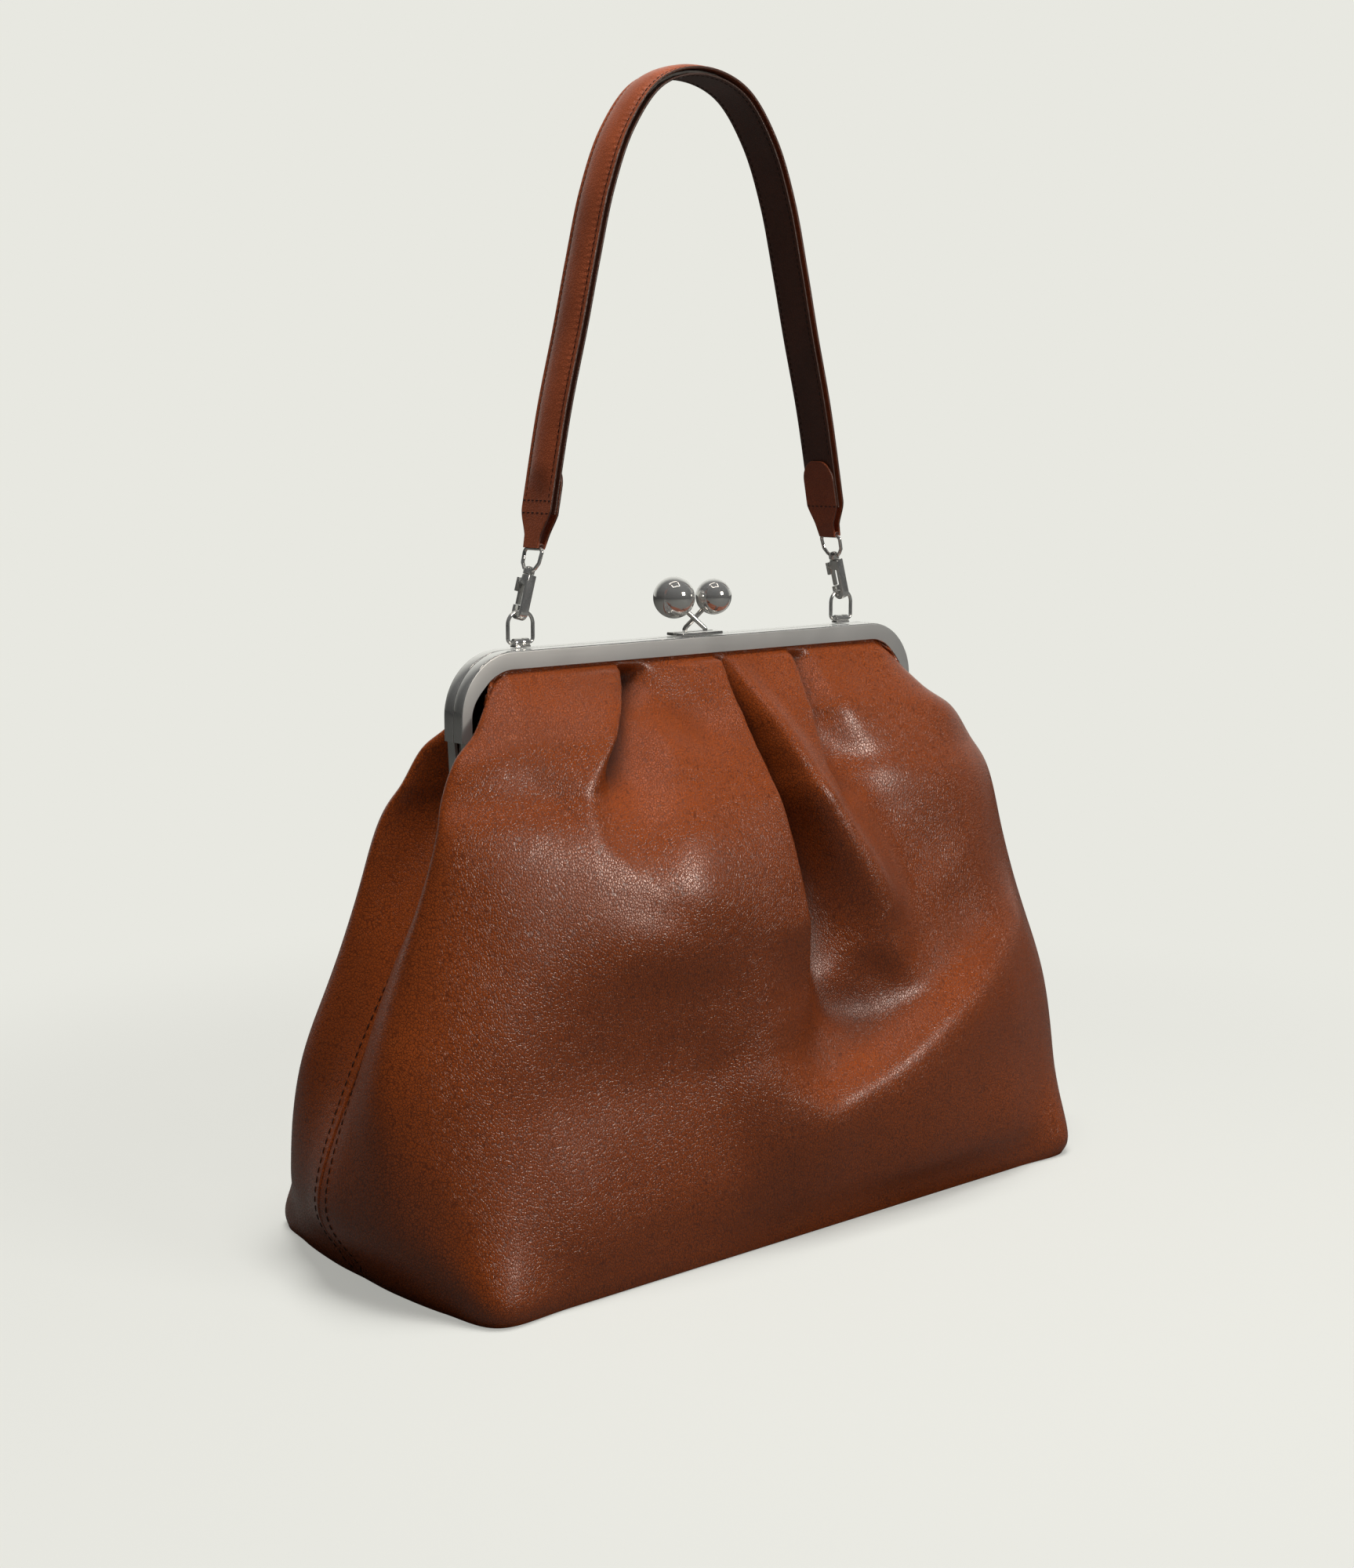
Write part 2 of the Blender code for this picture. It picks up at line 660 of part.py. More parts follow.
def frame_path(stop_degrees=None, steps=8, arm_bottom=ARM_END_Z):
    """Stations along the frame: point on the outer outline, inward direction, and how far up the arm it is."""
    stations = []
    low = 0 if stop_degrees is None else stop_degrees
    if stop_degrees is None:
        stations.append((Vector((-HALF_FRAME, 0, arm_bottom)), Vector((1, 0, 0)), 0.0))
    for k in range(steps + 1):
        degrees = low + (90 - low) * k / steps
        x, z = frame_corner_point(degrees, 0)
        angle = math.radians(degrees)
        stations.append((Vector((x, 0, z)), Vector((math.cos(angle), 0, -math.sin(angle))), degrees / 90))
    right = [(Vector((-p.x, 0, p.z)), Vector((-n.x, 0, n.z)), up) for p, n, up in reversed(stations)]
    return stations + right


def sweep_frame(name, section, stations, material):
    """Sweeps a section, given as inward depth and y, along the frame; the depth may depend on the station."""
    rings = []
    for point, inward, up in stations:
        rings.append([point + inward * depth + Vector((0, y, 0)) for depth, y in section(up)])
    return loft(name, rings, material)


def band_width(up):
    """The frame's band: narrow on the arm and full width by the middle of the corner."""
    share = min(1.0, up * 2)
    share = share * share * (3 - 2 * share)
    return ARM_BAND + (FRAME_BAND - ARM_BAND) * share


def bar_section(side):
    def section(up):
        width = band_width(up)
        near, far = side * FRAME_NEAR, side * FRAME_FAR
        edge = side * FRAME_EDGE
        return [
            (FRAME_EDGE, near),
            (0, near + edge),
            (0, far - edge),
            (FRAME_EDGE, far),
            (width, far),
            (width, near),
        ]

    return section


def groove_section(side):
    def section(_):
        near, far = side * (FRAME_NEAR + CHANNEL_WALL), side * (FRAME_FAR - CHANNEL_WALL)
        deep = FRAME_BAND + CUT_OVERRUN
        return [(CHANNEL_FLOOR, near), (CHANNEL_FLOOR, far), (deep, far), (deep, near)]

    return section


def hinge_tab(name, side, layer_x, end, material):
    """A flat ear from the arm's foot to a round end about the hinge axis."""
    low_y, high_y = side * (FRAME_NEAR + FRAME_EDGE), side * (FRAME_FAR - FRAME_EDGE)
    outline = [(low_y, ARM_END_Z + TAB_OVERLAP), (high_y, ARM_END_Z + TAB_OVERLAP), (high_y, ARM_END_Z)]
    for k in range(13):
        angle = math.pi * k / 12
        outline.append((side * TAB_RADIUS * math.cos(angle), HINGE_Z - TAB_RADIUS * math.sin(angle)))
    outline.append((low_y, ARM_END_Z))
    rings = []
    for depth in (layer_x, layer_x + TAB):
        x = end * (HALF_FRAME - depth)
        rings.append([Vector((x, y, z)) for y, z in outline])
    return loft(name, rings, material)


def rivet_layers():
    """Inward depths of the back ear, the front ear and the rivet's two heads."""
    back_layer = TAB_INSET
    front_layer = back_layer + TAB + FIT_GAP
    return back_layer, front_layer


def build_frames(material, filler_material):
    back_layer, front_layer = rivet_layers()
    for half, side, layer in (("front", -1, front_layer), ("back", 1, back_layer)):
        bar = sweep_frame(f"{half}_frame", bar_section(side), frame_path(), material)
        groove = sweep_frame("groove", groove_section(side), frame_path(UNDER_BAND_DEGREES[1]), None)
        apply_boolean(bar, groove, "DIFFERENCE")
        for end in (-1, 1):
            apply_boolean(bar, hinge_tab("ear", side, layer, end, None), "UNION")
            hole_radius = RIVET_RADIUS + PIN_CLEARANCE
            start = Vector((end * (HALF_FRAME - layer + CUT_OVERRUN), 0, HINGE_Z))
            hole = turned(
                "hole", start, Vector((-end, 0, 0)), ((0, hole_radius), (TAB + 2 * CUT_OVERRUN, hole_radius)), None
            )
            apply_boolean(bar, hole, "DIFFERENCE")
        build_filler(half, side, filler_material)


def build_filler(half, side, material):
    """The paper cord that wedges the leather in the channel."""
    far = side * FILLER_FAR
    near = side * (FILLER_FAR - FILLER)

    def section(_):
        low = CHANNEL_FLOOR + FIT_GAP
        return [(low, near), (low, far), (low + FILLER_DEPTH, far), (low + FILLER_DEPTH, near)]

    sweep_frame(f"{half}_channel_filler", section, frame_path(IN_BAND_DEGREES[-1], 4), material)


def build_rivets(material):
    back_layer, front_layer = rivet_layers()
    shank_start = back_layer - FIT_GAP
    shank_end = front_layer + TAB + FIT_GAP
    for name, end in (("left", -1), ("right", 1)):
        base = Vector((end * (HALF_FRAME - shank_start + RIVET_HEAD), 0, HINGE_Z))
        length = shank_end - shank_start
        profile = (
            (0, RIVET_HEAD_RADIUS - PLATE_EDGE),
            (RIVET_HEAD / 2, RIVET_HEAD_RADIUS),
            (RIVET_HEAD, RIVET_HEAD_RADIUS),
            (RIVET_HEAD, RIVET_RADIUS),
            (RIVET_HEAD + length, RIVET_RADIUS),
            (RIVET_HEAD + length, RIVET_HEAD_RADIUS),
            (RIVET_HEAD + length + RIVET_HEAD / 2, RIVET_HEAD_RADIUS),
            (2 * RIVET_HEAD + length, RIVET_HEAD_RADIUS - PLATE_EDGE),
        )
        turned(f"{name}_hinge_rivet", base, Vector((-end, 0, 0)), profile, material)


def build_clasp(material):
    """Each ball stands on its own frame and leans across the other one, so the two snap past each other."""
    spread = FRONT_BALL_RADIUS + BACK_BALL_RADIUS + BALL_PASS_GAP
    for half, side, radius in (("front", -1, FRONT_BALL_RADIUS), ("back", 1, BACK_BALL_RADIUS)):
        seat = Vector((0, side * FRAME_MIDDLE, FRAME_TOP + FIT_GAP))
        plate = box_rings(CLASP_PLATE_LENGTH / 2, CLASP_PLATE_WIDTH / 2, 0, CLASP_PLATE, PLATE_EDGE, seat)
        loft(f"{half}_clasp_plate", plate, material)
        ball_x = side * (radius / (FRONT_BALL_RADIUS + BACK_BALL_RADIUS)) * spread
        ball = Vector((ball_x, -side * BALL_CROSSING, FRAME_TOP + BALL_HEIGHT))
        foot = Vector((-side * STEM_FOOT, side * FRAME_MIDDLE, seat.z + CLASP_PLATE + FIT_GAP))
        build_ball(f"{half}_clasp_ball", ball, radius, ball - foot, material)
        direction = (ball - foot).normalized()
        knee = foot + Vector((0, 0, STEM_RADIUS))
        tip = ball - direction * (radius + FIT_GAP)
        tube_along(f"{half}_clasp_stem", [foot, knee, tip], STEM_RADIUS, material, sides=12)


def build_ball(name, center, radius, toward, material):
    """A hollow-turned ball with a flat seat for its stem."""
    steps = 12
    profile = []
    for k in range(1, steps):
        angle = math.pi * k / steps
        profile.append((radius - radius * math.cos(angle), radius * math.sin(angle)))
    axis = toward.normalized()
    turned(name, center - axis * radius, axis, profile, material, sides=20)


def ring_path():
    """The handle ring in its own plane: a straight foot in the lug, eased corners and a rounder top."""
    half = RING_WIDTH / 2 - RING_WIRE_RADIUS
    height = RING_HEIGHT - 2 * RING_WIRE_RADIUS
    corners = (
        (half, 0, RING_FOOT_CORNER, -90),
        (half, height, RING_TOP_CORNER, 0),
        (-half, height, RING_TOP_CORNER, 90),
        (-half, 0, RING_FOOT_CORNER, 180),
    )
    points = []
    for x, z, radius, start in corners:
        cx = x - math.copysign(radius, x)
        cz = z + radius if z == 0 else z - radius
        for k in range(5):
            angle = math.radians(start + 90 * k / 4)
            points.append(Vector((cx + radius * math.cos(angle), 0, cz + radius * math.sin(angle))))
    return points


def build_rings(material):
    y = FRAME_MIDDLE
    for name, end in (("left", -1), ("right", 1)):
        center = Vector((end * RING_SPACING / 2, y, RING_AXIS_Z))
        points = [center + p for p in ring_path()]
        tube_along(f"{name}_ring", points, RING_WIRE_RADIUS, material, True, 8, Vector((0, 1, 0)))
        start = center - Vector((LUG_LENGTH / 2, 0, 0))
        barrel = ((0, LUG_RADIUS), (LUG_LENGTH, LUG_RADIUS))
        lug = turned(f"{name}_ring_lug", start, Vector((1, 0, 0)), barrel, material)
        seat = Vector((center.x, y, FRAME_TOP + FIT_GAP))
        foot = loft("foot", box_rings(LUG_LENGTH / 2, LUG_FOOT_WIDTH / 2, 0, LUG_FOOT, PLATE_EDGE / 2, seat), None)
        apply_boolean(lug, foot, "UNION")
        bore_radius = RING_WIRE_RADIUS + LUG_BORE_CLEARANCE
        bore_start = start - Vector((CUT_OVERRUN, 0, 0))
        length = LUG_LENGTH + 2 * CUT_OVERRUN
        bore = turned("bore", bore_start, Vector((1, 0, 0)), ((0, bore_radius), (length, bore_radius)), None)
        apply_boolean(lug, bore, "DIFFERENCE")


def hook_frame(end):
    """Moves hook coordinates to the bag: x across the plate, y towards the gate, z along the hook."""
    place = Matrix.Translation((end * RING_SPACING / 2, FRAME_MIDDLE, RING_TOP_Z))
    return place @ Matrix.Rotation(-end * HOOK_LEAN, 4, "Y")


def extruded(name, outline, half_thickness, material, place):
    """A flat profile in the hook's y and z, given thickness along its x."""
    rings = []
    for x in (-half_thickness, half_thickness):
        rings.append([place @ Vector((x, y, z)) for y, z in outline])
    return loft(name, rings, material)


def arc_points(center_y, center_z, radius, start, end, steps):
    points = []
    for k in range(steps + 1):
        angle = math.radians(start + (end - start) * k / steps)
        points.append((center_y + radius * math.cos(angle), center_z + radius * math.sin(angle)))
    return points


def gate_axis():
    return HOOK_WIDTH / 2 - HOOK_WALL, HOOK_THROAT + GATE_PIN_RISE


def hook_outline():
    """The open hook seen from its side: bend, spine, top block with the gate's lobe, throat and nose."""
    outer = HOOK_WIDTH / 2
    inner = outer - HOOK_WALL
    bend = -HOOK_BASE + inner
    pin_y, pin_z = gate_axis()
    outline = arc_points(0, bend, outer, 360, 180, 12)
    outline += [(-outer, HOOK_TOP), (STUD_RADIUS + PLATE_EDGE, HOOK_TOP)]
    outline += arc_points(pin_y, pin_z, GATE_LOBE_RADIUS, 90, -90, 10)
    outline += [(-inner, HOOK_THROAT)]
    outline += arc_points(0, bend, inner, 180, 360, 12)
    outline += [(inner, HOOK_NOSE), (outer, HOOK_NOSE)]
    return outline


def build_hook_body(name, place, material):
    body = extruded(name, hook_outline(), HOOK_THICKNESS / 2, material, place)
    pin_y, pin_z = gate_axis()
    slot_half = GATE_THICKNESS / 2 + PIN_CLEARANCE
    slot_in = pin_y - GATE_LOBE_RADIUS
    slot_top = pin_z + GATE_LOBE_RADIUS
    slot = [
        (slot_in, HOOK_THROAT - CUT_OVERRUN),
        (HOOK_WIDTH, HOOK_THROAT - CUT_OVERRUN),
        (HOOK_WIDTH, slot_top),
        (slot_in, slot_top),
    ]
    apply_boolean(body, extruded("slot", slot, slot_half, None, place), "DIFFERENCE")
    pin_hole = pin_between("pin_hole", place, GATE_PIN_RADIUS + PIN_CLEARANCE, HOOK_THICKNESS / 2 + CUT_OVERRUN, None)
    apply_boolean(body, pin_hole, "DIFFERENCE")
    up = place.to_3x3() @ Vector((0, 0, 1))
    sunk = (HOOK_TOP - slot_top) / 2
    base = place @ Vector((0, 0, HOOK_TOP - sunk))
    reach = COLLAR_TOP + FIT_GAP - HOOK_TOP + sunk
    profile = (
        (0, STUD_RADIUS),
        (reach, STUD_RADIUS),
        (reach, STUD_HEAD_RADIUS),
        (reach + STUD_HEAD / 2, STUD_HEAD_RADIUS),
        (reach + STUD_HEAD, STUD_HEAD_RADIUS - PLATE_EDGE),
    )
    apply_boolean(body, turned("stud", base, up, profile, None, sides=16), "UNION")
    return body


def pin_between(name, place, radius, half_length, material):
    pin_y, pin_z = gate_axis()
    start = place @ Vector((-half_length, pin_y, pin_z))
    axis = place.to_3x3() @ Vector((1, 0, 0))
    return turned(name, start, axis, ((0, radius), (2 * half_length, radius)), material, sides=16)


def build_gate(name, place, material):
    """The sprung gate: a tongue on the pin, a leg that closes the throat and a thumb block outside."""
    pin_y, pin_z = gate_axis()
    outer = HOOK_WIDTH / 2
    thumb_face = pin_y + GATE_LOBE_RADIUS + FIT_GAP
    thumb_middle = thumb_face + GATE_THUMB / 2
    thumb_top = pin_z + GATE_LOBE_RADIUS
    thumb_low = thumb_top - GATE_THUMB_LENGTH
    leg_in = outer - GATE_LEG
    low = HOOK_NOSE + FIT_GAP
    outline = arc_points(pin_y, pin_z, GATE_LOBE_RADIUS - FIT_GAP, 60, 200, 8)
    outline += [(leg_in, HOOK_THROAT - GATE_LEG), (leg_in, low), (outer, low), (outer, thumb_low)]
    outline += [(thumb_middle, thumb_low + GATE_THUMB), (thumb_middle, pin_z)]
    gate = extruded(name, outline, GATE_THICKNESS / 2, material, place)
    thumb = [
        (thumb_face, thumb_low),
        (thumb_face + GATE_THUMB, thumb_low),
        (thumb_face + GATE_THUMB, thumb_top),
        (thumb_face, thumb_top),
    ]
    apply_boolean(gate, extruded("thumb", thumb, HOOK_THICKNESS / 2, None, place), "UNION")
    bore = pin_between("bore", place, GATE_PIN_RADIUS + PIN_CLEARANCE, HOOK_THICKNESS, None)
    apply_boolean(gate, bore, "DIFFERENCE")
    return gate


def build_eye(name, place, material):
    """The swivel eye: a collar round the stud and a wide loop for the strap."""
    half = EYE_WIDTH / 2 - EYE_WIRE_RADIUS
    middle = COLLAR_BASE + EYE_COLLAR / 2
    neck = EYE_COLLAR_RADIUS - EYE_WIRE_RADIUS
    shoulder = ((neck + half) / 2, middle + EYE_SHOULDER)
    points = [(-neck, middle), (neck, middle), shoulder]
    points += [(half, EYE_BAR - EYE_CORNER)]
    points += arc_points(half - EYE_CORNER, EYE_BAR - EYE_CORNER, EYE_CORNER, 30, 90, 3)
    points += arc_points(-half + EYE_CORNER, EYE_BAR - EYE_CORNER, EYE_CORNER, 90, 150, 3)
    points += [(-half, EYE_BAR - EYE_CORNER), (-shoulder[0], shoulder[1])]
    wire = [place @ Vector((0, y, z)) for y, z in points]
    across = place.to_3x3() @ Vector((1, 0, 0))
    eye = tube_along(name, wire, EYE_WIRE_RADIUS, material, True, 8, across)
    up = place.to_3x3() @ Vector((0, 0, 1))
    base = place @ Vector((0, 0, COLLAR_BASE))
    rim = ((0, EYE_COLLAR_RADIUS), (EYE_COLLAR, EYE_COLLAR_RADIUS))
    collar = turned("collar", base, up, rim, None, sides=20)
    apply_boolean(eye, collar, "UNION")
    bore_radius = STUD_RADIUS + PIN_CLEARANCE
    start = place @ Vector((0, 0, COLLAR_BASE - CUT_OVERRUN))
    length = EYE_COLLAR + 2 * CUT_OVERRUN
    bore = turned("bore", start, up, ((0, bore_radius), (length, bore_radius)), None, sides=20)
    apply_boolean(eye, bore, "DIFFERENCE")
    return eye


def build_hooks(material):
    for name, end in (("left", -1), ("right", 1)):
        place = hook_frame(end)
        build_hook_body(f"{name}_hook_body", place, material)
        build_gate(f"{name}_hook_gate", place, material)
        pin_between(f"{name}_gate_pin", place, GATE_PIN_RADIUS, HOOK_THICKNESS / 2, material)
        build_eye(f"{name}_swivel_eye", place, material)


def strap_line(samples=3):
    """The strap's middle line from the left eye's bar over the top to the right one, in x and z."""
    eye = hook_frame(-1) @ Vector((0, 0, EYE_BAR))
    half = RING_SPACING / 2
    left = [Vector((eye.x, 0, eye.z))]
    for x, z in STRAP_ROUTE_SHARES:
        left.append(Vector((-half * x, 0, FRAME_TOP + STRAP_RISE * z)))
    points = left + [Vector((-p.x, 0, p.z)) for p in reversed(left[:-1])]
    return catmull(points, samples)


def line_lengths(points):
    lengths = [0.0]
    for a, b in zip(points, points[1:]):
        lengths.append(lengths[-1] + (b - a).length)
    return lengths


def outward_normals(points):
    """In-plane normals that point away from the hand hole."""
    normals = []
    last = len(points) - 1
    for k in range(last + 1):
        tangent = (points[min(k + 1, last)] - points[max(k - 1, 0)]).normalized()
        normals.append(Vector((-tangent.z, 0, tangent.x)))
    return normals


def ribbon(name, stations, thickness, material):
    """A flat band: each station is a point, its thickness direction and its width."""
    rings = []
    for point, normal, width in stations:
        middle = Vector((point.x, FRAME_MIDDLE, point.z))
        half, deep = width / 2, thickness / 2
        section = (
            (-half, -deep + STRAP_EDGE),
            (-half + STRAP_EDGE, -deep),
            (half - STRAP_EDGE, -deep),
            (half, -deep + STRAP_EDGE),
            (half, deep - STRAP_EDGE),
            (half - STRAP_EDGE, deep),
            (-half + STRAP_EDGE, deep),
            (-half, deep - STRAP_EDGE),
        )
        rings.append([middle + Vector((0, y, 0)) + normal * n for y, n in section])
    return loft(name, rings, material)


def strap_stretch(start, width, offset, width_at=None):
    """Stations of a layer of the strap that starts and ends the same distance from each eye."""
    points = strap_line()
    normals = outward_normals(points)
    lengths = line_lengths(points)
    total = lengths[-1]
    stations = []
    for point, normal, length in zip(points, normals, lengths):
        from_end = min(length, total - length)
        if from_end >= start:
            stations.append((point + normal * offset, normal, width_at(from_end) if width_at else width))
    return stations


def outer_width(from_end):
    """The outer band widens from its neck at the eye to the full strap."""
    share = max(0.0, min(1.0, (from_end - TAB_NECK_LENGTH) / TAB_TAPER))
    return TAB_NECK_WIDTH + (STRAP_WIDTH - TAB_NECK_WIDTH) * share * share * (3 - 2 * share)


def return_width(from_end):
    """The turned-back end narrows to a rounded tip."""
    left = TAB_RETURN - from_end
    tip = STRAP_WIDTH / 2
    if left < tip:
        share = max(0.0, left / tip)
        return (STRAP_WIDTH - 2 * STRAP_EDGE) * max(TAB_TIP_SHARE, math.sqrt(share * (2 - share)))
    return min(outer_width(from_end), STRAP_WIDTH - 2 * STRAP_EDGE)


def return_stations():
    """The end of the outer band that is turned up inside the strap, tip first, on the left."""
    points = strap_line()
    normals = outward_normals(points)
    lengths = line_lengths(points)
    offset = -(STRAP_CORE / 2 + FIT_GAP + STRAP_INNER + FIT_GAP + STRAP_OUTER / 2)
    stations = []
    for point, normal, length in zip(points, normals, lengths):
        if STRAP_INNER_START - TAB_TAPER / 2 < length <= TAB_RETURN:
            stations.append((point + normal * offset, normal, return_width(length)))
    return list(reversed(stations))


def loop_stations():
    """The turn of the outer band round the left eye's bar, from the inside to the outside."""
    points = strap_line()
    bar, normal = points[0], outward_normals(points)[0]
    down = Vector((normal.z, 0, -normal.x))
    radius = EYE_WIRE_RADIUS + FIT_GAP + STRAP_OUTER / 2
    stations = []
    for k in range(9):
        angle = math.pi * k / 8
        direction = -normal * math.cos(angle) + down * math.sin(angle)
        stations.append((bar + direction * radius, direction, TAB_NECK_WIDTH))
    return stations


def mirrored_stations(stations):
    """The same stations at the other end of the strap, in reverse order."""
    out = []
    for point, normal, width in reversed(stations):
        out.append((Vector((-point.x, point.y, point.z)), Vector((-normal.x, 0, normal.z)), width))
    return out


def build_strap(outer_material, inner_material, core_material):
    offset = STRAP_CORE / 2 + FIT_GAP + STRAP_OUTER / 2
    turned_back = [(p, -n, w) for p, n, w in return_stations()]
    left = turned_back + loop_stations()
    middle = strap_stretch(TAB_NECK_WIDTH / 2, STRAP_WIDTH, offset, outer_width)
    ribbon("strap_outer", left + middle + mirrored_stations(left), STRAP_OUTER, outer_material)
    inner_offset = -(STRAP_CORE / 2 + FIT_GAP + STRAP_INNER / 2)
    inner = strap_stretch(STRAP_INNER_START, STRAP_WIDTH - 2 * STRAP_EDGE, inner_offset)
    ribbon("strap_inner", inner, STRAP_INNER, inner_material)
    core = strap_stretch(STRAP_CORE_START, STRAP_WIDTH - 2 * STRAP_CORE_MARGIN, 0)
    ribbon("strap_core", core, STRAP_CORE, core_material)


def add_pivot(name, place, pieces, parent=None):
    """An empty on a joint's axis, carrying the pieces that move about it."""
    pivot = bpy.data.objects.new(name, None)
    pivot.empty_display_size = PIVOT_SIZE
    bpy.context.scene.collection.objects.link(pivot)
    if parent:
        pivot.parent = parent
        pivot.matrix_parent_inverse = Matrix.Translation(-parent.matrix_world.translation)
    pivot.location = place
    bpy.context.view_layer.update()
    for piece in pieces:
        obj = bpy.data.objects[piece]
        obj.parent = pivot
        obj.matrix_parent_inverse = Matrix.Translation(-pivot.matrix_world.translation)
    return pivot


def add_pivots():
    carried = ("frame", "channel_filler", "clasp_plate", "clasp_stem", "clasp_ball", "panel_upper", "lining_flap")
    hinge = Vector((0, 0, HINGE_Z))
    add_pivot("front_frame_pivot", hinge, [f"front_{piece}" for piece in carried])
    lugs = ["left_ring_lug", "right_ring_lug"]
    back = add_pivot("back_frame_pivot", hinge, [f"back_{piece}" for piece in carried] + lugs)
    strap = ["strap_outer", "strap_inner", "strap_core", "left_swivel_eye", "right_swivel_eye"]
    handle = add_pivot("handle_pivot", Vector((0, FRAME_MIDDLE, RING_AXIS_Z)), strap, back)
    for name, end in (("left", -1), ("right", 1)):
        foot = Vector((end * RING_SPACING / 2, FRAME_MIDDLE, RING_AXIS_Z))
        add_pivot(f"{name}_ring_pivot", foot, [f"{name}_ring"], back)
        place = hook_frame(end)
        hook = add_pivot(f"{name}_hook_pivot", place.translation, [f"{name}_hook_body", f"{name}_gate_pin"], handle)
        add_pivot(f"{name}_gate_pivot", place @ Vector((0, *gate_axis())), [f"{name}_hook_gate"], hook)


def build():
    clear_scene()
    leather = make_material("leather", LEATHER_BROWN, 0.45, 0)
    strap_leather = make_material("strap_leather", STRAP_BROWN, 0.5, 0)
    lining = make_material("lining", LINING_TAN, 0.85, 0)
    board = make_material("board", BOARD_GREY, 0.8, 0)
    nickel = make_material("nickel", NICKEL, 0.12, 1)
    satin = make_material("satin_nickel", SATIN_NICKEL, 0.32, 1)
    build_panels(leather)
    build_base(leather, board)
    build_lining(lining)
    build_frames(satin, board)
    build_rivets(nickel)
    build_clasp(nickel)
    build_rings(nickel)
    build_hooks(nickel)
    build_strap(strap_leather, strap_leather, board)
    add_pivots()


build()
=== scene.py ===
import math

import bmesh
import bpy
import numpy as np
from mathutils import Matrix, Vector, noise


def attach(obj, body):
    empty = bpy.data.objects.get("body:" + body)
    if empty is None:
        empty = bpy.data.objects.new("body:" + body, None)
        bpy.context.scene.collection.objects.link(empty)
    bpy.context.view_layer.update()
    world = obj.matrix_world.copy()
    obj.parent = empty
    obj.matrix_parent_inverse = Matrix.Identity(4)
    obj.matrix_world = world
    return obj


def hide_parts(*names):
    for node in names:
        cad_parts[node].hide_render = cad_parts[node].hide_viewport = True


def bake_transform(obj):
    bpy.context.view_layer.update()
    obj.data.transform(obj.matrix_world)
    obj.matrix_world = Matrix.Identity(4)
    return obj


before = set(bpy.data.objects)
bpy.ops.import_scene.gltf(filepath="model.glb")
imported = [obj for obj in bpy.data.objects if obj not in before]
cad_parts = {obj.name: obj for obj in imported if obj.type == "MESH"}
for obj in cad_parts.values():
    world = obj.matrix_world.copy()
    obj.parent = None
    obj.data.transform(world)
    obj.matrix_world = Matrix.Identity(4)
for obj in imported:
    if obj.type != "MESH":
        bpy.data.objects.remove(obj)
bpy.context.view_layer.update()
mm = 0.001
print("frame loaded")


class Wire:
    # one output socket, so that sums and products of it add their own Math nodes
    def __init__(self, graph, socket):
        self.graph, self.socket = graph, socket

    def __add__(self, other):
        return self.graph.calc("ADD", self, other)

    def __sub__(self, other):
        return self.graph.calc("SUBTRACT", self, other)

    def __rsub__(self, other):
        return self.graph.calc("SUBTRACT", other, self)

    def __mul__(self, other):
        return self.graph.calc("MULTIPLY", self, other)

    __radd__, __rmul__ = __add__, __mul__


class Graph:
    # a tree of nodes, which all come from one method
    def __init__(self, tree):
        self.tree = tree

    def node(self, kind, settings=None, inputs=None, output=0):
        made = self.tree.nodes.new(kind)
        for key, value in (settings or {}).items():
            setattr(made, key, value)
        for key, value in (inputs or {}).items():
            self.plug(made.inputs[key], value)
        return Wire(self, made.outputs[output]) if made.outputs else None

    def plug(self, socket, value):
        if isinstance(value, Wire):
            self.tree.links.new(value.socket, socket)
        else:
            socket.default_value = value

    def calc(self, operation, first, second):
        return self.node("ShaderNodeMath", {"operation": operation}, {0: first, 1: second})

    def vector(self, operation, inputs, output=0):
        return self.node("ShaderNodeVectorMath", {"operation": operation}, inputs, output)

    def range(self, value, low, high, lowest=0.0):
        kind = {"interpolation_type": "SMOOTHSTEP"}
        return self.node("ShaderNodeMapRange", kind, {0: value, 1: low, 2: high, 3: lowest})


